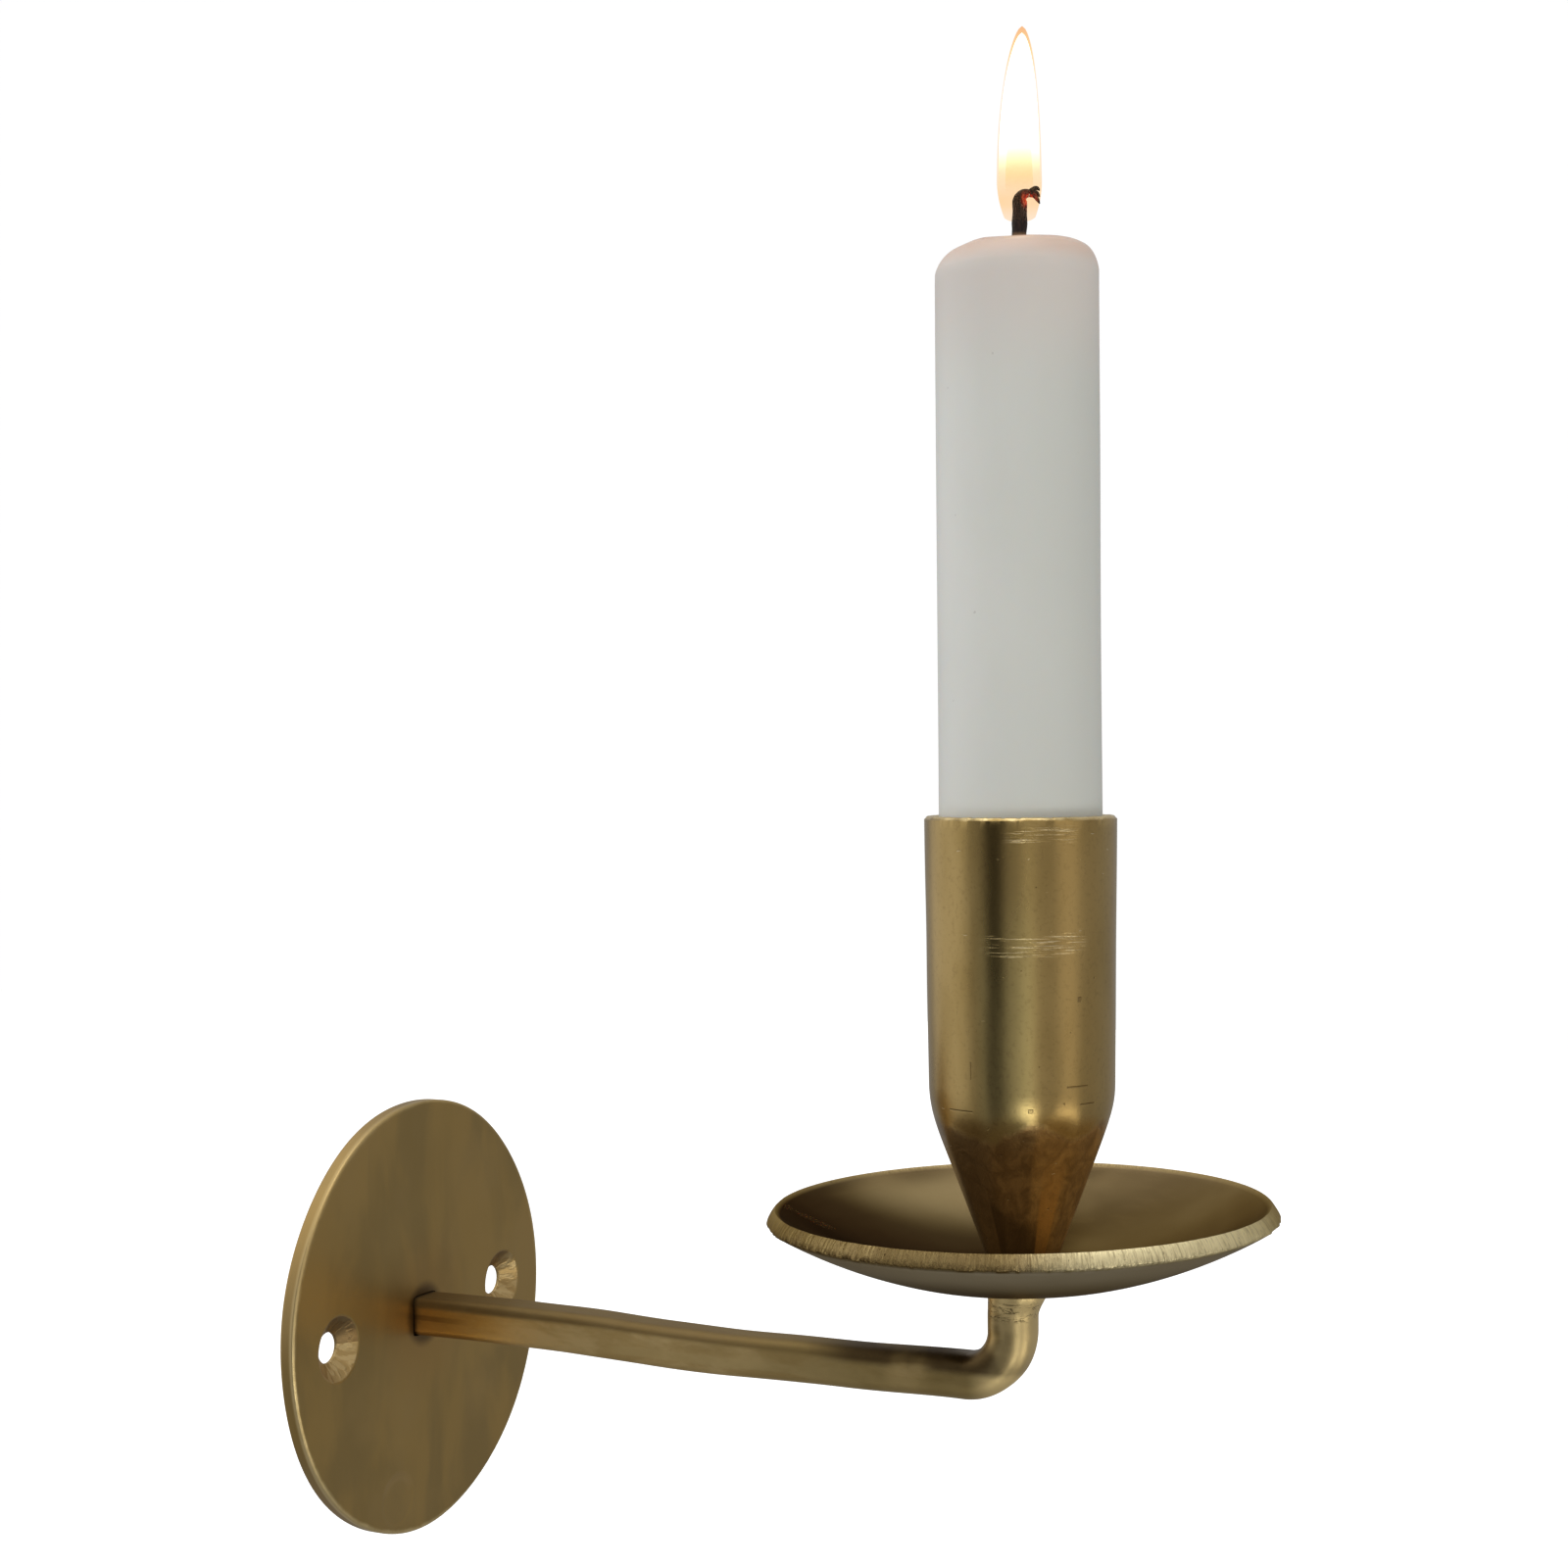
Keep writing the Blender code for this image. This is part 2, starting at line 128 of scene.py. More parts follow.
def skin(rings, closed):
    """Points and faces over rings of equal length: capped at both ends, or closed on itself."""
    count = len(rings[0])
    points = [p for ring in rings for p in ring]
    faces = []
    for i in range(len(rings) if closed else len(rings) - 1):
        a, b = i * count, (i + 1) % len(rings) * count
        for k in range(count):
            n = (k + 1) % count
            faces.append((a + k, a + n, b + n, b + k))
    if not closed:
        faces.append(tuple(reversed(range(count))))
        faces.append(tuple(range(len(points) - count, len(points))))
    return points, faces


def turned_rings(outline, segments, centre):
    """Rings round a vertical axis through centre, from (radius, z) pairs or functions of the angle."""
    rings = []
    for station in outline:
        ring = []
        for angle in circle(segments):
            radius, z = station(angle) if callable(station) else station
            ring.append(centre + Vector((radius * math.cos(angle), radius * math.sin(angle), z)))
        rings.append(ring)
    return rings


def swept_rings(stations, section):
    """Rings of a section along (middle, direction, ...) stations. The section gives (across, up) points."""
    rings = []
    for station in stations:
        middle, along = station[0], station[1]
        across = Vector((1, 0, 0))
        upward = along.cross(across)
        rings.append([middle + across * u + upward * v for u, v in section(*station[2:])])
    return rings


def outward(points, faces):
    """Turns the faces round if the closed mesh is inside out."""
    volume = 0.0
    for face in faces:
        for i in range(1, len(face) - 1):
            volume += points[face[0]].dot(points[face[i]].cross(points[face[i + 1]]))
    return (points, faces) if volume > 0 else (points, [tuple(reversed(f)) for f in faces])


def cut(piece, cutter):
    """Cuts a closed mesh out of a piece, and removes the cutter."""
    modifier = piece.modifiers.new("Cut", "BOOLEAN")
    modifier.operation = "DIFFERENCE"
    modifier.object = cutter
    bpy.context.view_layer.update()
    graph = bpy.context.evaluated_depsgraph_get()
    made = bpy.data.meshes.new_from_object(piece.evaluated_get(graph))
    piece.modifiers.clear()
    piece.data = made
    bpy.data.objects.remove(cutter)


# Shader nodes


class Nodes:
    """Short calls that add shader nodes to one material and link them."""

    def __init__(self, name):
        self.material = bpy.data.materials.new(name)
        self.material.use_nodes = True
        self.tree = self.material.node_tree
        self.shader = self.tree.nodes["Principled BSDF"]
        self.place = self.add("ShaderNodeTexCoord").outputs["Object"]
        split = self.add("ShaderNodeSeparateXYZ", self.place)
        self.x, self.y, self.z = split.outputs

    def put(self, socket, value):
        if isinstance(value, bpy.types.NodeSocket):
            self.tree.links.new(value, socket)
        elif value is not None:
            socket.default_value = value

    def add(self, kind, *values, **settings):
        made = self.tree.nodes.new(kind)
        for key, value in settings.items():
            setattr(made, key, value)
        for socket, value in zip(made.inputs, values):
            self.put(socket, value)
        return made

    def math(self, operation, a, b=None, c=None):
        return self.add("ShaderNodeMath", a, b, c, operation=operation).outputs[0]

    def vector(self, x, y, z):
        return self.add("ShaderNodeCombineXYZ", x, y, z).outputs[0]

    def stretched(self, x, y, z):
        """The place with each direction scaled by its own number, per metre."""
        scaled = self.add("ShaderNodeVectorMath", self.place, (x, y, z), operation="MULTIPLY")
        return scaled.outputs[0]

    def noise(self, place, scale, detail=3.0, roughness=0.5, distortion=0.0):
        made = self.add("ShaderNodeTexNoise")
        self.put(made.inputs["Vector"], place)
        self.put(made.inputs["Scale"], scale)
        self.put(made.inputs["Detail"], detail)
        self.put(made.inputs["Roughness"], roughness)
        self.put(made.inputs["Distortion"], distortion)
        return made.outputs[0]

    def rise(self, value, low, high):
        """0 below low, 1 above high, smooth between. It falls where low is above high."""
        made = self.add("ShaderNodeMapRange", interpolation_type="SMOOTHSTEP")
        flip = low > high
        self.put(made.inputs["Value"], value)
        self.put(made.inputs["From Min"], min(low, high))
        self.put(made.inputs["From Max"], max(low, high))
        self.put(made.inputs["To Min"], 1.0 if flip else 0.0)
        self.put(made.inputs["To Max"], 0.0 if flip else 1.0)
        return made.outputs[0]

    def band(self, value, low, high, soft):
        """1 between low and high, falling to 0 over soft outside them."""
        return self.math("MULTIPLY", self.rise(value, low - soft, low), self.rise(value, high + soft, high))

    def times(self, *factors):
        total = factors[0]
        for factor in factors[1:]:
            total = self.math("MULTIPLY", total, factor)
        return total

    def plus(self, *terms):
        total = terms[0]
        for term in terms[1:]:
            total = self.math("ADD", total, term)
        return total

    def spread(self, value, low, high):
        """Maps 0..1 to low..high."""
        return self.math("MULTIPLY_ADD", value, high - low, low)

    def mix(self, factor, a, b):
        made = self.add("ShaderNodeMix", data_type="RGBA", clamp_factor=True)
        self.put(made.inputs[0], factor)
        for socket, colour in ((made.inputs[6], a), (made.inputs[7], b)):
            self.put(socket, colour if isinstance(colour, bpy.types.NodeSocket) else (*colour, 1.0))
        return made.outputs[2]

    def over(self, colour, tint, mask, share):
        """Lays a tint over a colour where the mask is 1, covering share of it."""
        return self.mix(self.times(mask, share), colour, tint)

    def ramp(self, value, stops):
        """A colour or a grey from (place, value) stops."""
        made = self.add("ShaderNodeValToRGB", value)
        ramp = made.color_ramp
        while len(ramp.elements) < len(stops):
            ramp.elements.new(1.0)
        for element, (place, colour) in zip(ramp.elements, stops):
            element.position = place
            element.color = (*colour, 1.0) if isinstance(colour, tuple) else (colour, colour, colour, 1.0)
        return made.outputs[0]

    def around(self, turn, per_turn, shift, per_height):
        """A place for noise that follows the turn and the height, each scaled by its own number."""
        return self.vector(self.times(turn, per_turn), shift, self.times(self.z, per_height))

    def rise_line(self, low, high):
        """How far up between two heights, from 0 to 1."""
        return self.math("DIVIDE", self.math("SUBTRACT", self.z, low), high - low)

    def mask(self, name):
        """A mask stored on the mesh's points."""
        return self.add("ShaderNodeAttribute", attribute_name=name).outputs["Fac"]

    def distance(self, x, y, z):
        """The distance from a point."""
        made = self.add("ShaderNodeVectorMath", self.place, (x, y, z), operation="DISTANCE")
        return made.outputs["Value"]

    def round_place(self):
        """(turn, radius) about the cup's axis. Turn is 0 towards -X and grows towards -Y."""
        out = self.math("SUBTRACT", AXIS_Y, self.y)
        turn = self.math("ARCTAN2", out, self.math("MULTIPLY", self.x, -1.0))
        squared = self.plus(self.times(out, out), self.times(self.x, self.x))
        return turn, self.math("SQRT", squared)

    def bump(self, height, depth, under=None):
        """A bump whose height of 1 stands for depth metres."""
        made = self.add("ShaderNodeBump")
        self.put(made.inputs["Height"], height)
        self.put(made.inputs["Distance"], depth)
        self.put(made.inputs["Strength"], 1.0)
        if under is not None:
            self.put(made.inputs["Normal"], under)
        return made.outputs[0]

    def surface(self, **sockets):
        for name, value in sockets.items():
            socket = self.shader.inputs[name.replace("_", " ")]
            self.put(socket, (*value, 1.0) if socket.type == "RGBA" and isinstance(value, tuple) else value)
        return self.material


# Brass colours that several pieces share
TAN = (0.50, 0.345, 0.150)
POLISHED = (0.88, 0.70, 0.36)
ORANGE = (0.62, 0.345, 0.105)
DARK = (0.075, 0.045, 0.020)


def satin(nodes, colour, roughness, *bumps):
    """Finishes a metal: colour, roughness and bumps as (height, depth) pairs."""
    normal = None
    for height, depth in bumps:
        normal = nodes.bump(height, depth, normal)
    return nodes.surface(Base_Color=colour, Roughness=roughness, Metallic=1.0, Normal=normal)


def plate_look():
    """Satin olive-brown brass with soft upright patina, bright where the edge has worn."""
    n = Nodes("plate_brass")
    streaks = n.noise(n.stretched(1, 1, 0.4), 95, 4, 0.5, 0.5)
    clouds = n.noise(n.place, 55, 3)
    radius = n.math("SQRT", n.plus(n.times(n.x, n.x), n.times(n.z, n.z)))
    colour = n.mix(n.rise(streaks, 0.38, 0.60), (0.36, 0.246, 0.088), (0.44, 0.292, 0.098))
    colour = n.over(colour, (0.45, 0.305, 0.115), n.rise(clouds, 0.45, 0.7), 0.6)
    # warm stain round the arm's root, and the sooty line of its joint
    colour = n.over(colour, (0.385, 0.225, 0.072), n.rise(radius, 15 * MM, 4 * MM), 0.50)
    colour = n.over(colour, DARK, n.rise(radius, 5.4 * MM, 3.6 * MM), 0.75)
    # worn front edge, and the sawn rim behind it, both fading towards the top as painted shade
    wobble = n.noise(n.place, 420, 2)
    edge = n.plus(radius, n.spread(wobble, -0.35 * MM, 0.35 * MM))
    front = n.rise(n.y, -PLATE_THICKNESS + 1.0 * MM, -PLATE_THICKNESS + 0.5 * MM)
    worn = n.times(front, n.rise(edge, PLATE_RADIUS - 0.9 * MM, PLATE_RADIUS - 0.2 * MM))
    rim = n.rise(radius, PLATE_RADIUS - 0.25 * MM, PLATE_RADIUS - 0.05 * MM)
    upper = n.rise(n.z, -8 * MM, 22 * MM)
    colour = n.over(colour, TAN, rim, n.spread(upper, 0.85, 0.35))
    colour = n.over(colour, POLISHED, worn, n.spread(upper, 0.75, 0.25))
    # countersinks cut bright, with the cutter's chatter round them and a painted shadow along their tops
    side = n.math("SUBTRACT", n.math("ABSOLUTE", n.x), HOLE_OFFSET)
    level = n.math("SUBTRACT", n.z, n.times(n.x, math.tan(HOLE_TURN)))
    from_hole = n.math("SQRT", n.plus(n.times(side, side), n.times(level, level)))
    inside = n.band(n.y, -PLATE_THICKNESS + 0.12 * MM, -0.30 * MM, 0.10 * MM)
    mouth = n.times(inside, n.rise(from_hole, HOLE_MOUTH + 0.5 * MM, HOLE_MOUTH + 0.3 * MM))
    colour = n.over(colour, TAN, mouth, 0.7)
    hole_turn = n.math("ARCTAN2", level, side)
    chatter = n.noise(n.vector(n.times(hole_turn, 1.7), n.times(from_hole, 260), side), 2.0, 2, 0.5, 0.3)
    chatter = n.times(n.rise(chatter, 0.42, 0.58), mouth)
    colour = n.over(colour, (0.66, 0.50, 0.25), chatter, 0.6)
    shaded = n.times(n.rise(hole_turn, 0.5, 1.6), mouth)
    colour = n.over(colour, (0.17, 0.10, 0.040), shaded, 0.75)
    # a crescent dent low on the face
    away = n.distance(-7.5 * MM, -PLATE_THICKNESS, -26.5 * MM)
    crescent = n.times(n.band(away, 3.2 * MM, 3.8 * MM, 0.7 * MM), n.rise(n.z, -26.0 * MM, -24.0 * MM))
    colour = n.over(colour, TAN, crescent, 0.35)
    fine = n.noise(n.stretched(1, 1, 0.08), 2600, 3, 0.6)
    waves = n.noise(n.place, 70, 2)
    rough = n.spread(streaks, 0.34, 0.50)
    hollow = n.rise(away, 3.4 * MM, 4.2 * MM)
    heights = ((waves, 0.35 * MM), (fine, 0.006 * MM), (hollow, 0.05 * MM), (chatter, 0.05 * MM))
    return satin(n, colour, rough, *heights)


def arm_look():
    """Hammered bar: warm at its root, tan along its middle, dark inside the bend, polished outside it and
    painted brighter there as a highlight.
    """
    n = Nodes("arm_brass")
    mottle = n.noise(n.stretched(1.3, 0.45, 1.3), 260, 4, 0.6, 0.4)
    clouds = n.noise(n.place, 90, 3)
    out = n.math("MULTIPLY", n.y, -1.0)
    colour = n.mix(n.rise(mottle, 0.35, 0.66), (0.60, 0.415, 0.165), (0.74, 0.545, 0.250))
    colour = n.over(colour, (0.315, 0.180, 0.060), n.rise(out, 22 * MM, 5 * MM), 0.85)
    # painted shade: the hammered top edge is darker than the side, which dims its highlight
    sag = n.times(n.rise(out, 27 * MM, 58 * MM), BAR_DROP)
    lift = n.times(n.rise(out, 74 * MM, 91 * MM), -BEND_LIFT)
    above = n.plus(n.z, sag, lift)
    shaded_top_edge = n.times(n.rise(above, 1.1 * MM, 1.9 * MM), n.rise(out, REACH - 8 * MM, REACH - 12 * MM))
    colour = n.over(colour, (0.19, 0.128, 0.050), shaded_top_edge, 0.85)
    # painted highlight: a light streak low on the side; and a dark groove at the root
    wavy = n.plus(n.z, n.spread(mottle, -0.3 * MM, 0.3 * MM))
    highlight_streak = n.times(n.band(wavy, -1.9 * MM, -1.1 * MM, 0.5 * MM), n.band(out, 40 * MM, 90 * MM, 6 * MM))
    colour = n.over(colour, (0.72, 0.54, 0.245), highlight_streak, 0.5)
    groove = n.times(n.band(n.z, -0.2 * MM, 0.25 * MM, 0.35 * MM), n.rise(out, 15 * MM, 5 * MM))
    colour = n.over(colour, (0.13, 0.076, 0.030), groove, 0.55)
    # olive shade from half way to the bend
    shade = n.times(n.rise(out, 48 * MM, 84 * MM), n.rise(clouds, 0.25, 0.6))
    colour = n.over(colour, (0.37, 0.268, 0.100), shade, 0.75)
    # the outer side of the bend is polished by handling, and painted brighter there as a highlight
    far = n.math("MAXIMUM", n.math("SUBTRACT", out, REACH - SET_BACK - BEND_RADIUS), 0.0)
    low = n.math("MAXIMUM", n.math("SUBTRACT", BEND_RADIUS + BEND_LIFT - BAR_DROP, n.z), 0.0)
    from_bend = n.math("SQRT", n.plus(n.times(far, far), n.times(low, low)))
    from_bend = n.plus(from_bend, n.spread(mottle, -0.8 * MM, 0.8 * MM))
    outer = n.times(n.rise(from_bend, 5.1 * MM, 6.2 * MM), n.rise(far, 0.5 * MM, 4.5 * MM))
    wobble = n.spread(mottle, 0.8, 1.0)
    colour = n.over(colour, (1.0, 0.78, 0.38), outer, wobble)
    # darker on top just before the bend
    dark_top_patch = n.times(n.band(out, 76 * MM, 95 * MM, 9 * MM), n.rise(n.z, 0.0, 1.3 * MM))
    dark_top_patch = n.times(dark_top_patch, n.rise(clouds, 0.3, 0.5))
    colour = n.over(colour, DARK, dark_top_patch, 0.85)
    # sooty joint line at the plate, and one under the dish
    joint = n.rise(out, PLATE_THICKNESS + 0.9 * MM, PLATE_THICKNESS)
    colour = n.over(colour, DARK, joint, 0.85)
    seams = n.noise(n.stretched(0.6, 0.6, 2.4), 330, 4, 0.7, 1.4)
    seam = n.times(n.band(seams, 0.495, 0.505, 0.008), n.band(n.z, 8.8 * MM, 10.4 * MM, 0.8 * MM))
    colour = n.over(colour, DARK, seam, 0.8)
    fine = n.noise(n.stretched(1, 0.12, 1), 3000, 3, 0.6)
    dents = n.noise(n.stretched(1, 0.6, 1), 230, 3)
    rough = n.plus(n.spread(mottle, 0.30, 0.46), n.times(outer, 0.10), n.times(shaded_top_edge, 0.22))
    return satin(n, colour, rough, (dents, 0.16 * MM), (fine, 0.005 * MM), (seam, -0.05 * MM))


def bowl_colour(n, turn, radius, clouds):
    """The dish's inside: brown, palest at its back and darkest to the left of the cup's foot, where shade is
    painted.
    """
    swirl = n.noise(n.vector(n.times(turn, 1.6), n.times(radius, 260), 0.0), 2.2, 4, 0.6)
    colour = n.mix(n.rise(clouds, 0.36, 0.62), (0.16, 0.110, 0.052), (0.36, 0.26, 0.125))
    colour = n.over(colour, (0.27, 0.185, 0.085), n.rise(swirl, 0.45, 0.7), 0.35)
    colour = n.over(colour, (0.09, 0.055, 0.024), n.rise(radius, 14 * MM, 5 * MM), 0.7)
    # painted shade behind the cup's foot and at the bowl's far left
    from_camera = n.math("SUBTRACT", turn, CAMERA_TURN)
    behind = n.times(radius, n.math("COSINE", from_camera), -1.0)
    rightwards = n.times(radius, n.math("SINE", from_camera))
    soot = n.times(n.rise(behind, 25 * MM, 13 * MM), n.rise(rightwards, 9 * MM, -1 * MM))
    painted_shade = n.math("MAXIMUM", soot, n.rise(rightwards, -19 * MM, -29 * MM))
    away = n.math("COSINE", n.math("SUBTRACT", turn, -2.35))
    pale = n.times(n.rise(away, 0.72, 0.97), n.band(radius, 14 * MM, 28 * MM, 6 * MM))
    colour = n.over(colour, (0.52, 0.395, 0.200), pale, 0.70)
    side = n.math("COSINE", n.math("SUBTRACT", turn, 1.95))
    right = n.times(n.rise(side, 0.2, 0.9), n.rise(radius, 6 * MM, 14 * MM))
    colour = n.over(colour, (0.34, 0.245, 0.125), right, 0.65)
    return n.over(colour, (0.074, 0.052, 0.032), painted_shade, 0.85)


def underside_colour(n, radius):
    """Stained brown, paler towards the rim."""
    stains = n.noise(n.place, 75, 4, 0.6, 0.8)
    under = n.mix(n.rise(stains, 0.35, 0.65), (0.17, 0.125, 0.068), (0.24, 0.18, 0.100))
    return n.over(under, (0.78, 0.68, 0.50), n.rise(radius, 20 * MM, 32 * MM), 0.8)


def filed_colour(n, turn, files, torn):
    """The filed rim: bright on the right with a painted highlight, darker in the middle, torn and dark along
    its lower edge.
    """
    coarse = n.noise(n.around(turn, 9.0, 0.0, 90), 1.6, 3, 0.6)
    filed = n.mix(n.rise(files, 0.38, 0.62), (0.21, 0.140, 0.055), (0.47, 0.345, 0.150))
    filed = n.over(filed, (0.10, 0.064, 0.026), torn, 0.9)
    filed = n.over(filed, (0.30, 0.21, 0.095), n.rise(coarse, 0.55, 0.38), 0.55)
    facing = n.math("COSINE", n.math("SUBTRACT", turn, CAMERA_TURN))
    filed = n.over(filed, (0.66, 0.49, 0.23), n.rise(facing, 0.50, 0.10), 0.6)
    dull = n.band(turn, -0.14, 0.24, 0.12)
    filed = n.over(filed, (0.19, 0.13, 0.050), dull, 0.65)
    # filed metal is bright; on the right it is painted brighter still as a highlight
    bright = n.times(n.rise(turn, 0.28, 0.70), n.rise(turn, 2.00, 1.30))
    return n.over(filed, (1.0, 0.86, 0.50), bright, n.spread(n.rise(files, 0.34, 0.56), 0.45, 1.0))


def dish_look():
    """Dark brown inside and under, with a bright filed rim. Masks on the mesh tell the three apart."""
    n = Nodes("dish_brass")
    turn, radius = n.round_place()
    clouds = n.noise(n.place, 42, 3, 0.5, 0.4)
    edge = n.mask("rim")
    files = n.noise(n.around(turn, 42.0, 0.0, 130), 2.4, 5, 0.8, 0.5)
    ragged = n.noise(n.around(turn, 30.0, 1.0, 420), 2.0, 4, 0.7, 1.2)
    torn = n.times(n.rise(n.mask("burr"), 0.45, 0.9), n.rise(ragged, 0.44, 0.56))
    pits = n.noise(n.around(turn, 40.0, 3.0, 900), 1.7, 3, 0.6)
    pit = n.times(n.rise(pits, 0.66, 0.72), edge)
    colour = n.mix(n.mask("under"), bowl_colour(n, turn, radius, clouds), underside_colour(n, radius))
    colour = n.mix(edge, colour, filed_colour(n, turn, files, torn))
    colour = n.over(colour, DARK, pit, 0.7)
    fine = n.noise(n.vector(n.times(turn, 7.0), n.times(radius, 2500), 0.0), 2.0, 3, 0.6)
    waves = n.noise(n.place, 110, 2)
    rough = n.plus(n.spread(clouds, 0.32, 0.48), n.times(edge, -0.06))
    n.surface(Specular_Tint=(0.22, 0.18, 0.12))
    heights = ((waves, 0.16 * MM), (fine, 0.006 * MM), (n.times(files, edge), 0.14 * MM), (pit, -0.08 * MM))
    return satin(n, colour, rough, *heights, (torn, -0.08 * MM))


def cone_colour(n, turn, brushed):
    """The cone, burnt red-brown by brazing, with one flat scraped orange and soot round its foot."""
    burnt = n.mix(n.rise(brushed, 0.35, 0.68), (0.31, 0.190, 0.078), (0.52, 0.335, 0.140))
    bright_flat = n.times(n.band(turn, 0.68, 0.92, 0.08), n.rise(n.z, 33 * MM, 22 * MM))
    burnt = n.over(burnt, ORANGE, bright_flat, 0.85)
    burnt = n.over(burnt, (0.25, 0.172, 0.085), n.rise(turn, 0.12, -0.45), 0.65)
    slant = n.plus(n.z, n.times(turn, 5.0 * MM))
    sooty = n.times(n.band(turn, -0.2, 0.62, 0.05), n.rise(slant, 25.5 * MM, 23 * MM))
    return n.over(burnt, (0.15, 0.092, 0.045), sooty, 0.80)


def cup_scratches(n, turn, round_way):
    """A patch of scratches across the side, a fainter one below the lip, and short nicks all over."""
    lines = n.rise(n.noise(n.around(round_way, 160, 0.0, 5200), 1.0, 3, 0.65, 0.35), 0.53, 0.64)
    patch_edge = n.plus(n.z, n.times(n.math("SINE", n.times(turn, 4.0)), 0.5 * MM))
    patch = n.times(n.band(patch_edge, 58.8 * MM, 60.6 * MM, 0.8 * MM), n.band(turn, 0.10, 0.92, 0.22))
    upper = n.times(n.band(n.z, 73.2 * MM, 74.8 * MM, 0.6 * MM), n.band(turn, 0.35, 0.85, 0.2), 0.8)
    nick = n.rise(n.noise(n.around(round_way, 420, 5.0, 1900), 1.0, 2, 0.5), 0.735, 0.76)
    scratches = n.math("MAXIMUM", n.times(lines, patch), n.times(lines, upper))
    return n.math("MAXIMUM", scratches, n.times(nick, 0.8))


def cup_cuts(n, turn):
    """An upright nick and a line on the left, a speck and short lines on the right."""
    # turn, height in mm, half turn and half height in mm of each
    strokes = ((-0.20, 43.0, 0.004, 1.1), (-0.36, 37.6, 0.16, 0.03), (1.00, 52.4, 0.020, 0.25))
    strokes += ((0.98, 41.0, 0.13, 0.03), (1.12, 38.6, 0.10, 0.03), (0.45, 38.0, 0.02, 0.18))
    cuts = 0.0
    for turn_at, z_at, half_turn, half_z in strokes:
        across = n.band(turn, turn_at - half_turn, turn_at + half_turn, 0.006)
        along = n.band(n.z, (z_at - half_z) * MM, (z_at + half_z) * MM, 0.10 * MM)
        cuts = n.math("MAXIMUM", cuts, n.times(across, along))
    return cuts


def cup_look():
    """Satin cup with a worn lip, scratches and nicks, over a red-brown hammered cone."""
    n = Nodes("cup_brass")
    turn = n.round_place()[0]
    round_way = n.times(turn, CUP_RIM_RADIUS)
    clouds = n.noise(n.stretched(1, 1, 0.35), 120, 4, 0.55, 0.3)
    colour = n.mix(n.rise(clouds, 0.35, 0.65), (0.38, 0.262, 0.095), (0.46, 0.325, 0.130))
    # painted highlight: an olive band low on the side facing the camera
    olive = n.times(n.band(turn, 0.02, 0.42, 0.20), n.rise(n.z, 74 * MM, 50 * MM))
    colour = n.over(colour, (0.50, 0.40, 0.165), olive, 0.55)
    colour = n.over(colour, (0.45, 0.295, 0.105), n.band(turn, 0.62, 1.15, 0.25), 0.5)
    # the cone's colour ends above in scallops
    scallops = n.times(n.math("COSINE", n.math("MULTIPLY_ADD", turn, 5.6, 0.9)), 1.2 * MM)
    ragged = n.plus(n.z, scallops, n.spread(clouds, -2.6 * MM, 2.6 * MM))
    cone = n.rise(ragged, 35.7 * MM, 34.3 * MM)
    brushed = n.noise(n.around(turn, 3.4, 0.0, 300), 1.5, 4, 0.58, 0.6)
    colour = n.over(colour, cone_colour(n, turn, brushed), cone, 0.95)
    # bright lip
    uneven = n.plus(n.z, n.spread(n.noise(n.place, 500, 3), -0.5 * MM, 0.5 * MM))
    colour = n.over(colour, POLISHED, n.rise(uneven, CUP_TOP - 0.55 * MM, CUP_TOP - 0.1 * MM), 0.8)
    marks = cup_scratches(n, turn, round_way)
    colour = n.over(colour, (0.80, 0.68, 0.42), marks, 0.75)
    spots = n.rise(n.noise(n.place, 900, 2), 0.755, 0.78)
    colour = n.over(colour, DARK, spots, 0.55)
    specks = n.noise(n.place, 1500, 3, 0.7)
    colour = n.over(colour, (0.24, 0.16, 0.062), n.rise(specks, 0.50, 0.72), 0.30)
    cuts = cup_cuts(n, turn)
    colour = n.over(colour, DARK, cuts, 0.35)
    fine = n.noise(n.around(round_way, 1100, 0.0, 2400), 1.0, 4, 0.7)
    waves = n.noise(n.stretched(1, 1, 0.5), 120, 2)
    rough = n.plus(n.spread(clouds, 0.22, 0.36), n.times(cone, 0.06))
    heights = ((waves, 0.10 * MM), (fine, 0.010 * MM), (n.times(brushed, cone), 0.10 * MM))
    return satin(n, colour, rough, *heights, (marks, -0.03 * MM), (spots, -0.05 * MM), (cuts, -0.12 * MM))


def screw_look():
    """Turned brass, barely aged."""
    n = Nodes("screw_brass")
    radius = n.round_place()[1]
    rings = n.noise(n.vector(n.times(radius, 9000), 0.0, n.times(n.z, 9000)), 1.0, 2)
    tint = n.noise(n.place, 300, 3)
    colour = n.mix(n.rise(tint, 0.3, 0.7), (0.52, 0.37, 0.16), (0.68, 0.51, 0.25))
    return satin(n, colour, n.spread(tint, 0.24, 0.36), (rings, 0.006 * MM))


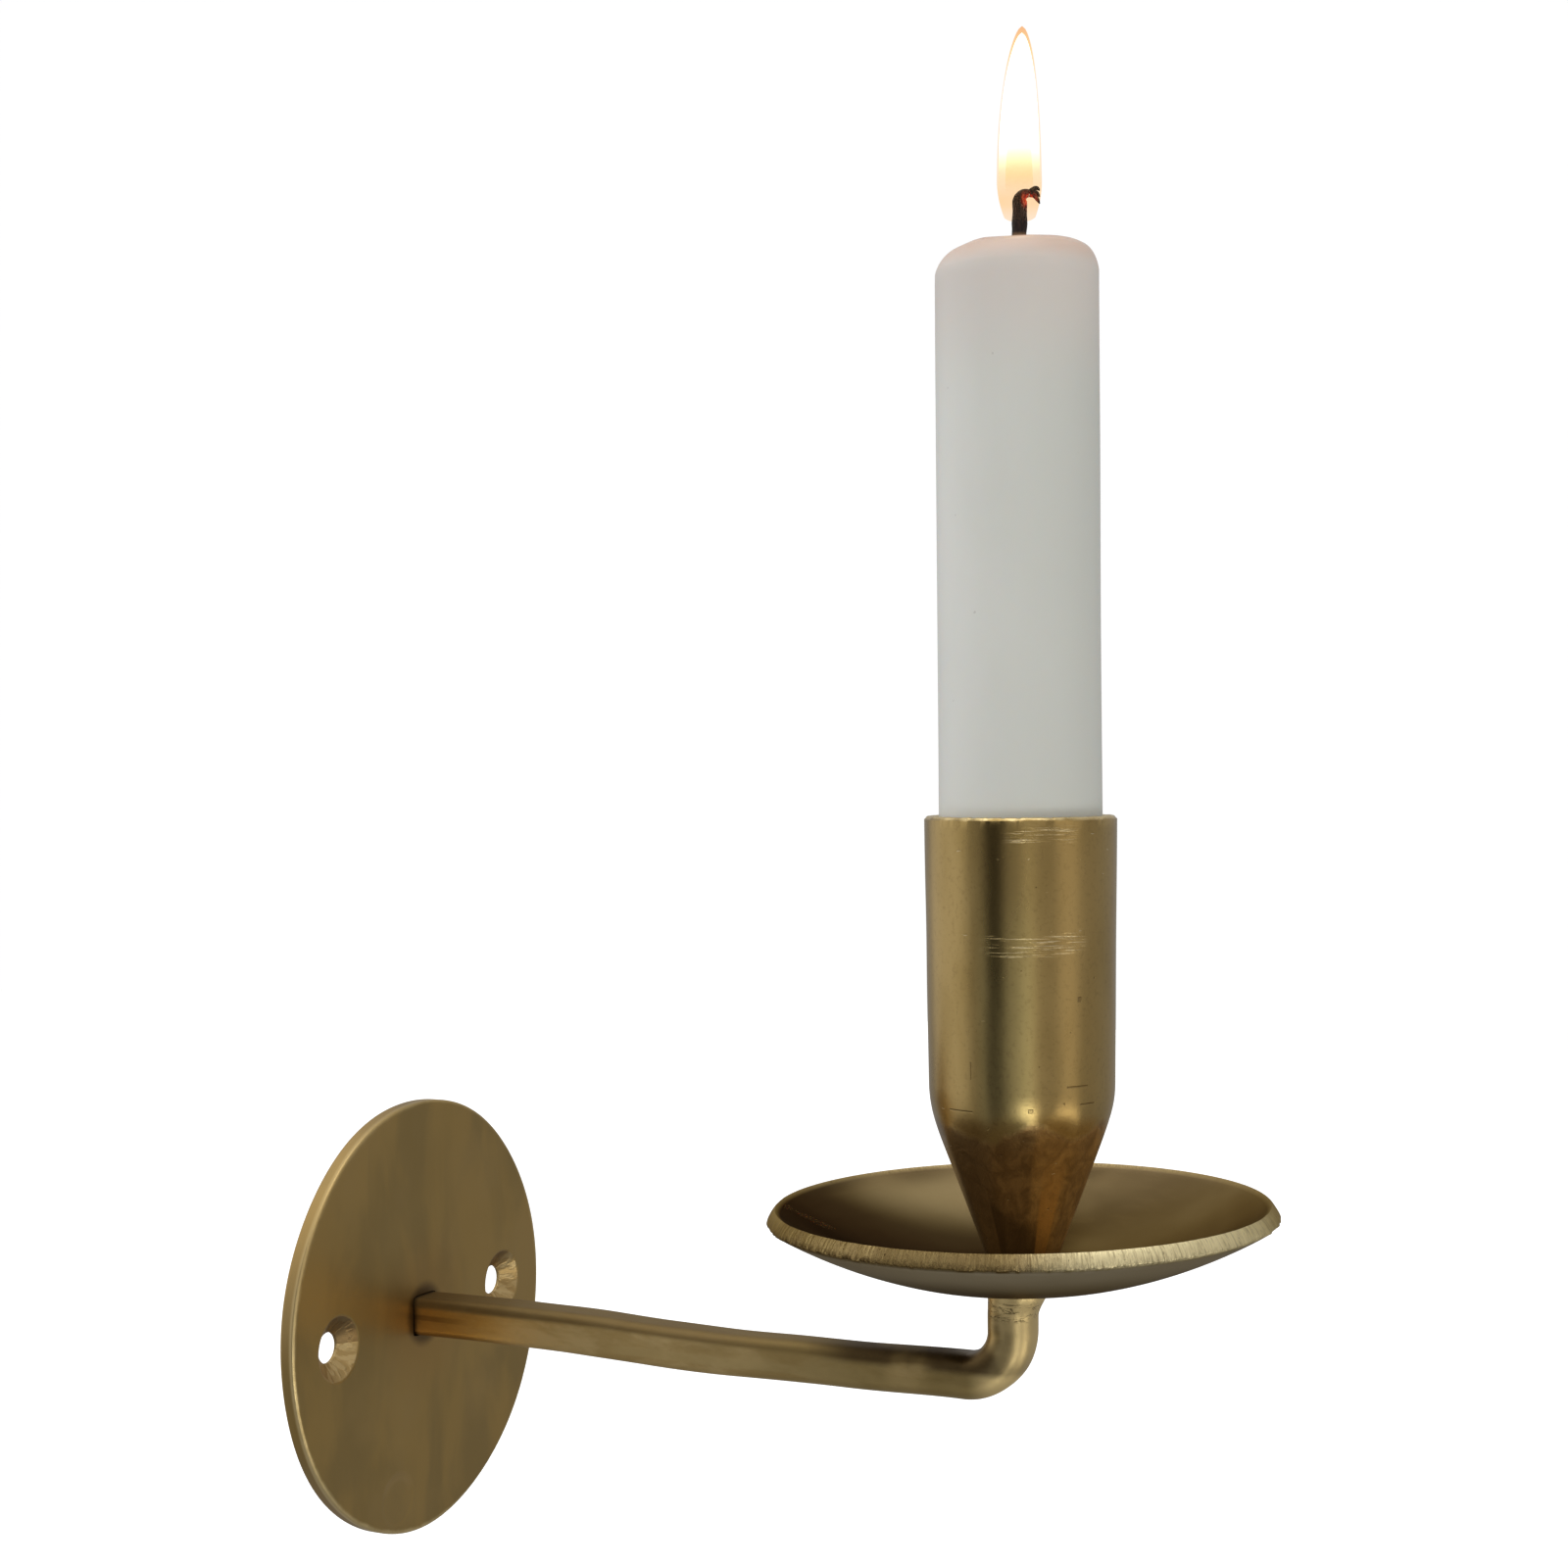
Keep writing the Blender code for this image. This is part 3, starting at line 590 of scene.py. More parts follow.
def wax_look():
    """White wax, greyer to the right as painted shade and greyer below, warm and glassy round the melted
    top.
    """
    n = Nodes("wax")
    clouds = n.noise(n.stretched(1, 1, 0.4), 90, 3)
    top = CANDLE_TOP
    turn, radius = n.round_place()
    colour = n.mix(n.rise(clouds, 0.3, 0.7), (0.88, 0.885, 0.83), (0.92, 0.920, 0.87))
    # painted shade: the right side greyer
    colour = n.over(colour, (0.66, 0.675, 0.63), n.rise(turn, -0.9, 1.5), 0.8)
    colour = n.over(colour, (0.60, 0.62, 0.58), n.rise(n.z, top - 50 * MM, top - 90 * MM), 0.25)
    colour = n.over(colour, (0.84, 0.755, 0.700), n.rise(n.z, top - 24 * MM, top - 3 * MM), 0.75)
    colour = n.over(colour, (0.80, 0.585, 0.465), n.rise(n.z, top - 4.2 * MM, top - 0.8 * MM), 0.85)
    pool_edge = n.band(radius, 7.0 * MM, 9.0 * MM, 0.5 * MM)
    lip = n.times(n.rise(n.z, top - 0.7 * MM, top - 0.25 * MM), pool_edge)
    colour = n.over(colour, (0.55, 0.30, 0.22), lip, 0.4)
    pores = n.rise(n.noise(n.place, 800, 2), 0.76, 0.79)
    colour = n.over(colour, (0.45, 0.42, 0.38), pores, 0.35)
    skin_marks = n.noise(n.stretched(1, 1, 0.15), 900, 3)
    waves = n.noise(n.stretched(1, 1, 0.3), 110, 2)
    normal = n.bump(skin_marks, 0.006 * MM, n.bump(waves, 0.09 * MM))
    rough = n.math("SUBTRACT", n.spread(clouds, 0.42, 0.52), n.times(n.rise(n.z, top - 4 * MM, top), 0.2))
    n.shader.subsurface_method = "RANDOM_WALK"
    return n.surface(
        Base_Color=colour,
        Roughness=rough,
        Normal=normal,
        Subsurface_Weight=0.30,
        Subsurface_Radius=(1.0, 0.75, 0.55),
        Subsurface_Scale=2.0 * MM,
        IOR=1.43,
    )


def wick_look():
    """Charred cotton, still wax-coloured at its foot, with a glowing curl."""
    n = Nodes("char")
    braid = n.noise(n.stretched(1, 1, 0.5), 1500, 3, 0.6)
    colour = n.mix(n.rise(braid, 0.35, 0.7), (0.006, 0.004, 0.004), (0.020, 0.010, 0.009))
    pale = n.rise(n.z, CANDLE_TOP + 2.0 * MM, CANDLE_TOP + 0.8 * MM)
    colour = n.mix(pale, colour, (0.42, 0.27, 0.15))
    away = n.distance(*EMBER)
    glow = n.times(n.rise(away, 1.7 * MM, 0.5 * MM), n.rise(braid, 0.40, 0.56))
    ember = n.mix(n.rise(braid, 0.5, 0.75), (0.45, 0.020, 0.012), (1.0, 0.20, 0.07))
    light = n.mix(glow, (0.0, 0.0, 0.0), ember)
    normal = n.bump(braid, 0.12 * MM)
    return n.surface(
        Base_Color=colour, Roughness=0.85, Normal=normal, Emission_Color=light, Emission_Strength=0.9
    )


def glow_look(name, colours, alphas, strengths):
    """Burning gas: its light, and how much it hides, change with height."""
    n = Nodes(name)
    height = n.rise_line(FLAME_FOOT, FLAME_TOP)
    return n.surface(
        Base_Color=(0.0, 0.0, 0.0),
        Roughness=1.0,
        Specular_IOR_Level=0.0,
        Emission_Color=n.ramp(height, colours),
        Emission_Strength=n.times(n.ramp(height, strengths), 4.0),
        Alpha=n.ramp(height, alphas),
    )


def tinted_look(name, colours):
    """The flame's thin skin, which tints what is behind it."""
    n = Nodes(name)
    tint = n.ramp(n.rise_line(FLAME_FOOT, FLAME_TOP), colours)
    return n.surface(
        Base_Color=tint,
        Roughness=0.0,
        IOR=1.0,
        Transmission_Weight=1.0,
        Specular_IOR_Level=0.0,
    )


# Wall plate


def make_plate():
    """The disc, its edge rounded by hand, with countersinks and a square hole."""
    segments, turns = 240, 6
    corner = 0.45 * MM
    thick = PLATE_THICKNESS

    def rim_radius(angle, inset):
        uneven = 0.10 * MM * math.sin(3 * angle + 0.7) + 0.07 * MM * math.sin(7 * angle)
        return PLATE_RADIUS - 0.12 * MM - inset + uneven

    rings = []
    back = [(corner * (1 - math.sin(a)), -corner * (1 - math.cos(a))) for a in quarter(turns)]
    front = [(corner * (1 - math.cos(a)), -thick + corner * (1 - math.sin(a))) for a in quarter(turns)]
    flat = 1.2 * MM
    for inset, y in [(flat, 0.0), *back, *front, (flat, -thick)]:
        ring = []
        for angle in circle(segments):
            r = rim_radius(angle, inset)
            ring.append(Vector((r * math.cos(angle), y, r * math.sin(angle))))
        rings.append(ring)
    points, faces = skin(rings, closed=False)
    plate = add_piece("plate", points, faces, plate_look(), "holder", "wall_plate", sharp=35)
    for side in (-1, 1):
        along, up = math.cos(HOLE_TURN) * side, math.sin(HOLE_TURN) * side
        cut(plate, countersink(HOLE_OFFSET * Vector((along, 0, up))))
    cut(plate, square_hole())
    smoother = plate.modifiers.new("Normals", "WEIGHTED_NORMAL")
    smoother.keep_sharp = True


def countersink(middle):
    """A drill and a countersink in one cutter, along Y, with the mouth's edge broken."""
    bore, mouth, beyond = HOLE_BORE, HOLE_MOUTH, 1.0 * MM
    depth = 0.8 * (mouth - bore)
    stations = [(bore, beyond), (bore, -PLATE_THICKNESS + depth + 0.1 * MM)]
    stations += [(bore + 0.1 * MM, -PLATE_THICKNESS + depth)]
    stations += [(mouth, -PLATE_THICKNESS + 0.1 * MM), (mouth + 0.3 * MM, -PLATE_THICKNESS)]
    stations += [(mouth + 0.5 * MM, -PLATE_THICKNESS - beyond)]
    rings = []
    for radius, y in stations:
        rings.append([middle + Vector((radius * math.cos(a), y, -radius * math.sin(a))) for a in circle(96)])
    return plain_mesh("countersink", *outward(*skin(rings, closed=False)))


def square_hole():
    """The arm's hole: square, with filed-out corners, flared at the back for the rivet head."""
    half = 3.05 * MM
    rings = []
    for y, size in ((1.0 * MM, half + 1.5 * MM), (-1.5 * MM, half), (-PLATE_THICKNESS - 1 * MM, half)):
        ring = []
        for angle in circle(32):
            corner = 0.35 * MM * math.cos(2 * angle + math.pi) ** 8 * (abs(math.sin(2 * angle)) > 0.9)
            reach = (abs(math.cos(angle)) ** 12 + abs(math.sin(angle)) ** 12) ** (-1 / 12) * size + corner
            ring.append(Vector((reach * math.cos(angle), y, -reach * math.sin(angle))))
        rings.append(ring)
    return plain_mesh("square_hole", *outward(*skin(rings, closed=False)))


# Arm

BAR = 5.8 * MM
UPRIGHT = 6.4 * MM
UPRIGHT_TOP = 7.6 * MM
BAR_DROP = 0.65 * MM
BEND_RADIUS = 6.4 * MM
BEND_LIFT = 0.5 * MM
BEND_SQUEEZE = 0.15 * MM
SET_BACK = 1.5 * MM
TOP_SET_BACK = 0.7 * MM


def bar_section(half, softness, twist, corner):
    """A square with cut corners: softness rounds every edge, corner says how far out the cuts lie."""
    sides = 64
    found = []
    for k in range(sides):
        angle = 2 * math.pi * (k + 0.5) / sides
        c, s = math.cos(angle), math.sin(angle)
        total = 0.0
        for i in range(8):
            direction = math.pi / 4 * i
            facing = c * math.cos(direction) + s * math.sin(direction)
            cut_in = 1.0 if i % 2 == 0 else corner + 0.04 * math.sin(i + twist)
            total += (max(0.0, facing) / (half * cut_in)) ** softness
        reach = total ** (-1 / softness)
        found.append((reach * c, reach * s))
    return found


def bar_stations():
    """(middle, direction, half size, softness, twist, corner) from the plate's back to under the dish."""
    half = BAR / 2
    stations = [(Vector((0, 0, 0)), Vector((0, -1, 0)), half + 0.8 * MM, 40, 0.0, 1.36)]
    stations += [(Vector((0, -1.2 * MM, 0)), Vector((0, -1, 0)), half, 40, 0.0, 1.34)]
    end = REACH - SET_BACK - BEND_RADIUS
    grown = UPRIGHT / 2 - half
    start = PLATE_THICKNESS
    steps = 110
    for i in range(steps + 1):
        t = i / steps
        y = start + (end - start) * t
        wave = 0.12 * MM * math.sin(2 * math.pi * 1.6 * t)
        z = wave - BAR_DROP * eased((t - 0.28) / 0.34) + BEND_LIFT * eased((t - 0.8) / 0.2)
        size = half + grown * (0.4 * eased(t / 0.5) + 0.6 * eased((t - 0.75) / 0.25))
        size += 0.035 * MM * grain(t * 9, 2.0, 0.0)
        section = (size, 30 - 21 * eased(t), 6 * t, 1.30 - 0.15 * eased(t))
        stations.append((Vector((0, -y, z)), Vector((0, -1, 0)), *section))
    low = stations[-1][0].z
    centre = Vector((0, -end, low + BEND_RADIUS))
    turns = 30
    for i in range(1, turns + 1):
        angle = math.pi / 2 * i / turns
        inwards = BEND_SQUEEZE * math.sin(2 * angle)
        middle = centre + (BEND_RADIUS - inwards) * Vector((0, -math.sin(angle), -math.cos(angle)))
        along = Vector((0, -math.cos(angle), math.sin(angle)))
        stations.append((middle, along, half + grown, 9, 6.0, 1.15))
    top, foot = ARM_TOP, low + BEND_RADIUS
    rises = 14
    for i in range(1, rises + 1):
        t = 0.15 + 0.85 * i / rises
        flare = eased((t - 0.35) / 0.65)
        y = REACH - SET_BACK + (SET_BACK - TOP_SET_BACK) * flare
        size = (UPRIGHT + (UPRIGHT_TOP - UPRIGHT) * flare) / 2
        stations.append((Vector((0, -y, foot + (top - foot) * t)), Vector((0, 0, 1)), size, 9, 6.0, 1.15))
    return stations


def make_arm():
    """The bar, hammered more and more from its root to the bend."""
    rings = swept_rings(bar_stations(), bar_section)
    for i, ring in enumerate(rings[2:-1], start=2):
        middle = sum(ring, Vector()) / len(ring)
        for k, point in enumerate(ring):
            out = (point - middle).normalized()
            dents = grain(point.x * 260, point.y * 90, point.z * 260) * 0.06 * MM
            ring[k] = point + out * dents * eased(i / 20)
    points, faces = outward(*skin(rings, closed=False))
    add_piece("arm_bar", points, faces, arm_look(), "holder", "arm", sharp=60)


# Drip dish

DISH_CURVE = 66.5 * MM
DISH_THICK = 2.1 * MM
DISH_RIM = 34.5 * MM
DISH_HOLE = 1.6 * MM
DISH_UNDERSIDE = 12.5 * MM
DISH_TILT_OUT = math.radians(0.9)
DISH_TILT_SIDE = math.radians(0.7)


def make_dish():
    """A pressed disc of sheet. The chatter of its filed rim and the burr below it are real shape."""
    segments, rings_in, rim_rings = 900, 34, 9
    centre_z = DISH_UNDERSIDE + DISH_THICK / 2 + DISH_CURVE
    outer, inner = DISH_CURVE + DISH_THICK / 2, DISH_CURVE - DISH_THICK / 2
    edge = math.asin(DISH_RIM / outer)
    hole = math.asin(DISH_HOLE / outer)

    def on_sphere(radius, lean, angle):
        r = radius * math.sin(lean)
        return Vector((r * math.cos(angle), r * math.sin(angle), centre_z - radius * math.cos(lean)))

    rim_values, under_values, burr_values, rings = [], [], [], []
    leans = [hole + (edge - hole) * (i / rings_in) for i in range(rings_in + 1)]
    stations = [(outer, lean, 0.0) for lean in leans[:-1]]
    for j in range(rim_rings + 1):
        t = j / rim_rings
        stations.append((outer + (inner - outer) * t, edge, t))
    stations += [(inner, lean, 1.0) for lean in reversed(leans[:-1])]
    for index, (radius, lean, t) in enumerate(stations):
        on_rim = rings_in <= index <= rings_in + rim_rings
        ring = []
        for angle in circle(segments):
            c, s = math.cos(angle), math.sin(angle)
            point = on_sphere(radius, lean, angle)
            if on_rim:
                chatter = grain(c * 110, s * 110, 0.3) * 0.060 * MM + grain(c * 12, s * 12, 4.0) * 0.12 * MM
                burr = max(0.0, grain(c * 34, s * 34, 9.0) + 0.05) * 0.20 * MM * (1 - t) ** 4
                crown = 0.10 * MM * (1 - (2 * t - 1) ** 2) - 0.16 * MM * (abs(2 * t - 1) ** 6)
                out = Vector((c, s, -0.35)).normalized()
                point += out * (chatter * (0.4 + 0.6 * (1 - t)) + crown + burr)
                point.z -= burr * 0.5
            else:
                dents = grain(point.x * 75, point.y * 75, 1.0 if index < rings_in else 7.0) * 0.10 * MM
                point.z += dents * min(1.0, (leans[-1] - lean) / (edge * 0.25)) if lean < edge else 0.0
            ring.append(point)
        rim_values.append(1.0 if on_rim else 0.0)
        under_values.append(1.0 if index < rings_in else 0.0)
        burr_values.append(1.0 - t if on_rim else 0.0)
        rings.append(ring)
    tilt = Matrix.Rotation(-DISH_TILT_OUT, 4, "X") @ Matrix.Rotation(-DISH_TILT_SIDE, 4, "Y")
    lower = Matrix.Translation((0, 0, -DISH_UNDERSIDE))
    place = Matrix.Translation((0, AXIS_Y, DISH_UNDERSIDE)) @ tilt @ lower
    rings = [[place @ p for p in ring] for ring in rings]
    points, faces = outward(*skin(rings, closed=True))
    dish = add_piece("dish", points, faces, dish_look(), "holder", "drip_dish", sharp=50)
    for name, values in (("rim", rim_values), ("under", under_values), ("burr", burr_values)):
        mask = dish.data.attributes.new(name, "FLOAT", "POINT")
        mask.data.foreach_set("value", [value for value in values for _ in range(segments)])


# Candle cup

CUP_SHOULDER_Z = 40.5 * MM
CUP_SHOULDER_RADIUS = 12.4 * MM
CONE_START_Z = 31.8 * MM
CONE_START_RADIUS = 10.7 * MM
FOOT_RADIUS = 4.3 * MM
LEDGE_Z = 41.0 * MM
FLOOR_Z = 20.5 * MM
CUP_WALL = 1.3 * MM
CUP_HOLE = 1.3 * MM

# The cone's hammered flats: (direction in degrees from the camera side, how deep each is cut, in mm)
FLATS = ((-150, 0.05), (-112, 0.125), (-78, 0.025), (-38, 0.15), (-6, 0.06))
FLATS += ((24, 0.14), (52, 0.025), (88, 0.125), (130, 0.05), (172, 0.1))
CAMERA_SIDE = math.radians(200.5)


def cup_radius(z, angle):
    """The cup's outside: a tube, a round shoulder and a cone cut by flats, with soft edges between them."""
    slope = (CONE_START_RADIUS - FOOT_RADIUS) / (CONE_START_Z - CUP_FOOT)
    cone = CONE_START_RADIUS - slope * (CONE_START_Z - z)
    if z >= CUP_SHOULDER_Z:
        t = (z - CUP_SHOULDER_Z) / (CUP_TOP - CUP_SHOULDER_Z)
        body = CUP_SHOULDER_RADIUS + (CUP_RIM_RADIUS - CUP_SHOULDER_RADIUS) * t
    elif z >= CONE_START_Z:
        span, drop = CUP_SHOULDER_Z - CONE_START_Z, CUP_SHOULDER_RADIUS - CONE_START_RADIUS
        t = (CUP_SHOULDER_Z - z) / span
        body = CUP_SHOULDER_RADIUS - drop * t ** (slope * span / drop)
    else:
        body = cone
    total = (1 / (body * 1.012)) ** 60
    for degrees, depth in FLATS:
        facing = math.cos(angle - CAMERA_SIDE - math.radians(degrees))
        flat = cone * 0.985 - depth * MM
        if facing > 0.2:
            total += (facing / flat) ** 60
    return total ** (-1 / 60)


def make_cup():
    """The cup's outside from foot to lip, then its inside down to the floor and the screw's hole."""
    segments = 300
    foot, top = CUP_FOOT, CUP_TOP
    heights = [foot + (CUP_SHOULDER_Z - foot) * i / 60 for i in range(61)]
    heights += [CUP_SHOULDER_Z + (top - 0.5 * MM - CUP_SHOULDER_Z) * i / 30 for i in range(1, 31)]
    outline = []
    for z in heights:
        outline.append(lambda angle, z=z: (cup_radius(z, angle) + dimple(angle, z), z))
    lip = 0.45 * MM
    bore = CUP_RIM_RADIUS - CUP_WALL
    ledge = CUP_SHOULDER_RADIUS - CUP_WALL + 0.1 * MM
    rounding = [(CUP_RIM_RADIUS - lip * (1 - math.cos(a)), a) for a in quarter(4)[1:]]
    rounding += [(bore + lip * (1 - math.sin(a)), math.pi / 2 - a) for a in quarter(4)]
    for radius, a in rounding:
        outline.append(lambda angle, radius=radius, a=a: (radius, lip_height(angle, a, lip)))
    outline += [(bore, top - 4 * MM), (ledge + 0.02 * MM, LEDGE_Z + 3 * MM), (ledge, LEDGE_Z + 0.8 * MM)]
    outline += [(ledge - 0.7 * MM, LEDGE_Z - 0.8 * MM)]
    outline += [(FOOT_RADIUS + 0.4 * MM, FLOOR_Z), (CUP_HOLE, FLOOR_Z), (CUP_HOLE, foot)]
    rings = turned_rings(outline, segments, Vector((0, AXIS_Y, 0)))
    points, faces = outward(*skin(rings, closed=True))
    add_piece("cup", points, faces, cup_look(), "holder", "candle_cup", sharp=50)


def dimple(angle, z):
    """Uneven hammering, a few hundredths of a millimetre."""
    c, s = math.cos(angle), math.sin(angle)
    return grain(c * 2.2, s * 2.2, z * 90) * 0.05 * MM


def lip_height(angle, a, lip):
    """The lip's height, with the small dips of a worn edge."""
    c, s = math.cos(angle), math.sin(angle)
    dips = grain(c * 7, s * 7, 2.0) * 0.07 * MM + min(0.0, grain(c * 24, s * 24, 5.0) + 0.25) * 0.25 * MM
    return CUP_TOP - 0.05 * MM - lip * (1 - math.sin(a)) + dips


# Candle, wick and flame

IMAGE_RIGHT = Vector((0.35, -0.94, 0)).normalized()
TOWARDS_CAMERA = Vector((-0.94, -0.35, 0))
EMBER = Vector((0, AXIS_Y, WICK_TOP - 1.3 * MM)) + IMAGE_RIGHT * 1.5 * MM


def make_candle():
    """A dinner candle whose shoulders have melted more on one side, with a shallow pool at the top."""
    segments = 160
    top, foot = CANDLE_TOP, CANDLE_FOOT
    channel = 1.2 * MM

    def shoulder(angle, a):
        c, s = math.cos(angle), math.sin(angle)
        leaning = math.cos(angle - CAMERA_SIDE + math.pi / 2)
        wide = (2.6 + 0.75 * leaning) * MM
        tall = (3.4 + 0.1 * leaning) * MM
        uneven = grain(c * 2.1, s * 2.1, 6.0) * 0.20 * MM * math.sin(a)
        straight = a / (math.pi / 2)
        inwards = 0.65 * (1 - math.cos(a)) + 0.35 * straight
        down = 0.65 * (1 - math.sin(a)) + 0.35 * (1 - straight)
        return CANDLE_RADIUS - wide * inwards, top - 0.15 * MM - tall * down + uneven

    def side(z):
        def at(angle):
            c, s = math.cos(angle), math.sin(angle)
            return CANDLE_RADIUS + grain(c * 1.3, s * 1.3, z * 40) * 0.06 * MM, z

        return at

    outline = [(channel, foot), (CANDLE_RADIUS - 0.7 * MM, foot)]
    outline += [(CANDLE_RADIUS - 0.05 * MM, foot + 0.7 * MM)]
    outline += [side(foot + 1.5 * MM + (top - 6.5 * MM - foot) * i / 40) for i in range(41)]
    outline += [lambda angle, a=a: shoulder(angle, a) for a in quarter(12)]

    def pool(share, depth):
        """Share is how far out from the wick to the rim, depth how far below the rim in mm."""

        def at(angle):
            radius, z = shoulder(angle, math.pi / 2)
            return channel + (radius - channel) * share, z - depth * MM

        return at

    depths = ((0.9, 0.02), (0.8, 0.14), (0.65, 0.42), (0.4, 0.62), (0.2, 0.6), (0.0, 0.35))
    outline += [pool(share, depth) for share, depth in depths]
    rings = turned_rings(outline, segments, Vector((0, AXIS_Y, 0)))
    points, faces = outward(*skin(rings, closed=True))
    add_piece("candle_wax", points, faces, wax_look(), "candle", "candle", sharp=60)


def tube(path, radii, sides, lumps):
    """A round tube along points, with its own radius at each, and lumps as a share of that radius."""
    rings = []
    for i, point in enumerate(path):
        before, after = path[max(0, i - 1)], path[min(len(path) - 1, i + 1)]
        along = (after - before).normalized()
        across = along.cross(TOWARDS_CAMERA).normalized()
        upward = along.cross(across)
        ring = []
        for angle in circle(sides):
            r = radii[i] * (1 + lumps * grain(math.cos(angle) * 2, math.sin(angle) * 2, i * 0.4))
            ring.append(point + across * r * math.cos(angle) + upward * r * math.sin(angle))
        rings.append(ring)
    return outward(*skin(rings, closed=False))


def make_wick():
    """The braid stands up and curls over at its tip, where thin charred strands open like a claw."""
    look = wick_look()
    foot = Vector((0, AXIS_Y, CANDLE_FOOT + 0.3 * MM))
    surface = Vector((0, AXIS_Y, CANDLE_TOP)) + IMAGE_RIGHT * 0.35 * MM
    tip = WICK_TOP - 0.25 * MM
    path = [foot, surface]
    stand = tip - 1.0 * MM - surface.z
    for i in range(1, 11):
        path.append(surface + Vector((0, 0, stand * i / 10)) + IMAGE_RIGHT * 0.12 * MM * (i / 10))
    elbow = path[-1]
    bend = 1.0 * MM
    for i in range(1, 9):
        angle = math.radians(105) * i / 8
        upwards = Vector((0, 0, bend * math.sin(angle)))
        path.append(elbow + IMAGE_RIGHT * bend * (1 - math.cos(angle)) + upwards)
    radii = [1.0 * MM] * 12 + [1.0 * MM - 0.06 * MM * i for i in range(1, 9)]
    points, faces = tube(path, radii, 24, 0.12)
    add_piece("wick_braid", points, faces, look, "candle", "wick", sharp=60)
    end = path[-1]
    for index, (lift, drop) in enumerate(((0.75, 0.1), (-0.1, 1.35), (0.35, 0.7))):
        line, thick = [], []
        for i in range(9):
            t = i / 8
            rise = lift * math.sin(math.pi * t * 0.8) - drop * t * t
            out = (0.1 + 1.55 * t - 0.25 * t * t) * MM
            line.append(end + IMAGE_RIGHT * out + Vector((0, 0, rise * MM)))
            thick.append((0.42 * (1 - t) ** 0.7 + 0.08) * MM)
        points, faces = tube(line, thick, 10, 0.25)
        add_piece(f"wick_strand_{index}", points, faces, look, "candle", None, sharp=60)


def flame_radius(t, full):
    """A drop: round below, long and pointed above."""
    body = full * max(0.0, 1 - t**2.6) ** 0.6
    return body * (1 - 0.31 * (1 - t / 0.2) ** 2 if t < 0.2 else 1.0)


def drop_mesh(low, high, full, lean):
    """A closed flame shape between two heights; lean is how far its tip moves to the picture's right."""
    steps, sides = 60, 48
    base = Vector((0, AXIS_Y - 0.5 * MM, low))
    rings = []
    round_foot = [(0.25, -0.55), (0.55, -0.45), (0.8, -0.27), (0.94, -0.1)]
    stations = [(flame_radius(0, full) * share, dip * MM, 0.0) for share, dip in round_foot]
    for i in range(steps):
        t = i / steps
        stations.append((max(flame_radius(t, full), 0.03 * MM), (high - low) * t, t))
    stations.append((0.02 * MM, high - low, 1.0))
    for radius, up, t in stations:
        shift = IMAGE_RIGHT * (lean * t * t - 0.10 * MM * math.sin(math.pi * t))
        middle = base + Vector((0, 0, up)) + shift
        spots = [Vector((radius * math.cos(a), radius * math.sin(a), 0)) for a in circle(sides)]
        rings.append([middle + spot for spot in spots])
    return outward(*skin(rings, closed=False))


def make_flame():
    """Three shells: a faint tinted skin, the white body, and the yellow heart over the wick."""
    low, high = FLAME_FOOT + 0.5 * MM, FLAME_TOP
    # (height from 0 to 1, value) stops: colours, then how much each height hides, then how bright it is
    tints = [(0.0, (1.0, 0.80, 0.62)), (0.1, (1.0, 0.68, 0.38)), (0.25, (1.0, 0.80, 0.58))]
    tints += [(0.7, (1.0, 0.86, 0.74)), (0.88, (1.0, 0.70, 0.38)), (1.0, (0.95, 0.50, 0.24))]
    skin_look = tinted_look("flame_skin", tints)
    colours = [(0.0, (1.0, 0.68, 0.40)), (0.25, (1.0, 0.88, 0.52))]
    colours += [(0.42, (1.0, 1.0, 0.86)), (1.0, (1.0, 1.0, 1.0))]
    hides = [(0.0, 0.0), (0.17, 0.0), (0.32, 0.50), (0.52, 1.0), (1.0, 1.0)]
    glows = [(0.0, 0.25), (0.25, 0.27), (0.45, 0.75), (1.0, 0.75)]
    body_look = glow_look("flame_body", colours, hides, glows)
    colours = [(0.0, (1.0, 0.62, 0.38)), (0.2, (1.0, 0.72, 0.36))]
    colours += [(0.33, (1.0, 0.93, 0.42)), (0.5, (1.0, 0.99, 0.80))]
    hides = [(0.0, 0.0), (0.15, 0.0), (0.24, 0.40), (0.38, 0.35), (0.55, 0.0)]
    heart_look = glow_look("flame_heart", colours, hides, [(0.0, 0.25), (1.0, 0.25)])
    points, faces = drop_mesh(low, high, 3.05 * MM, 0.45 * MM)
    add_piece("flame_skin", points, faces, skin_look, "candle", "flame")
    points, faces = drop_mesh(low + 0.35 * MM, high - 0.9 * MM, 2.82 * MM, 0.42 * MM)
    add_piece("flame_body", points, faces, body_look, "candle", None)
    points, faces = drop_mesh(low + 1.0 * MM, low + (high - low) * 0.56, 1.9 * MM, 0.15 * MM)
    add_piece("flame_heart", points, faces, heart_look, "candle", None)
    for name in ("flame_skin", "flame_body", "flame_heart"):
        bpy.data.objects[name].visible_shadow = False


# Studio


def direction_of(turn, up):
    """A direction from the object: degrees from the camera's side towards its right, and degrees up."""
    azimuth = CAMERA_AZIMUTH + math.radians(turn)
    rise = math.radians(up)
    return Vector(
        (math.sin(azimuth) * math.cos(rise), -math.cos(azimuth) * math.cos(rise), math.sin(rise))
    )


CENTRE = Vector((0, -0.06, 0.06))


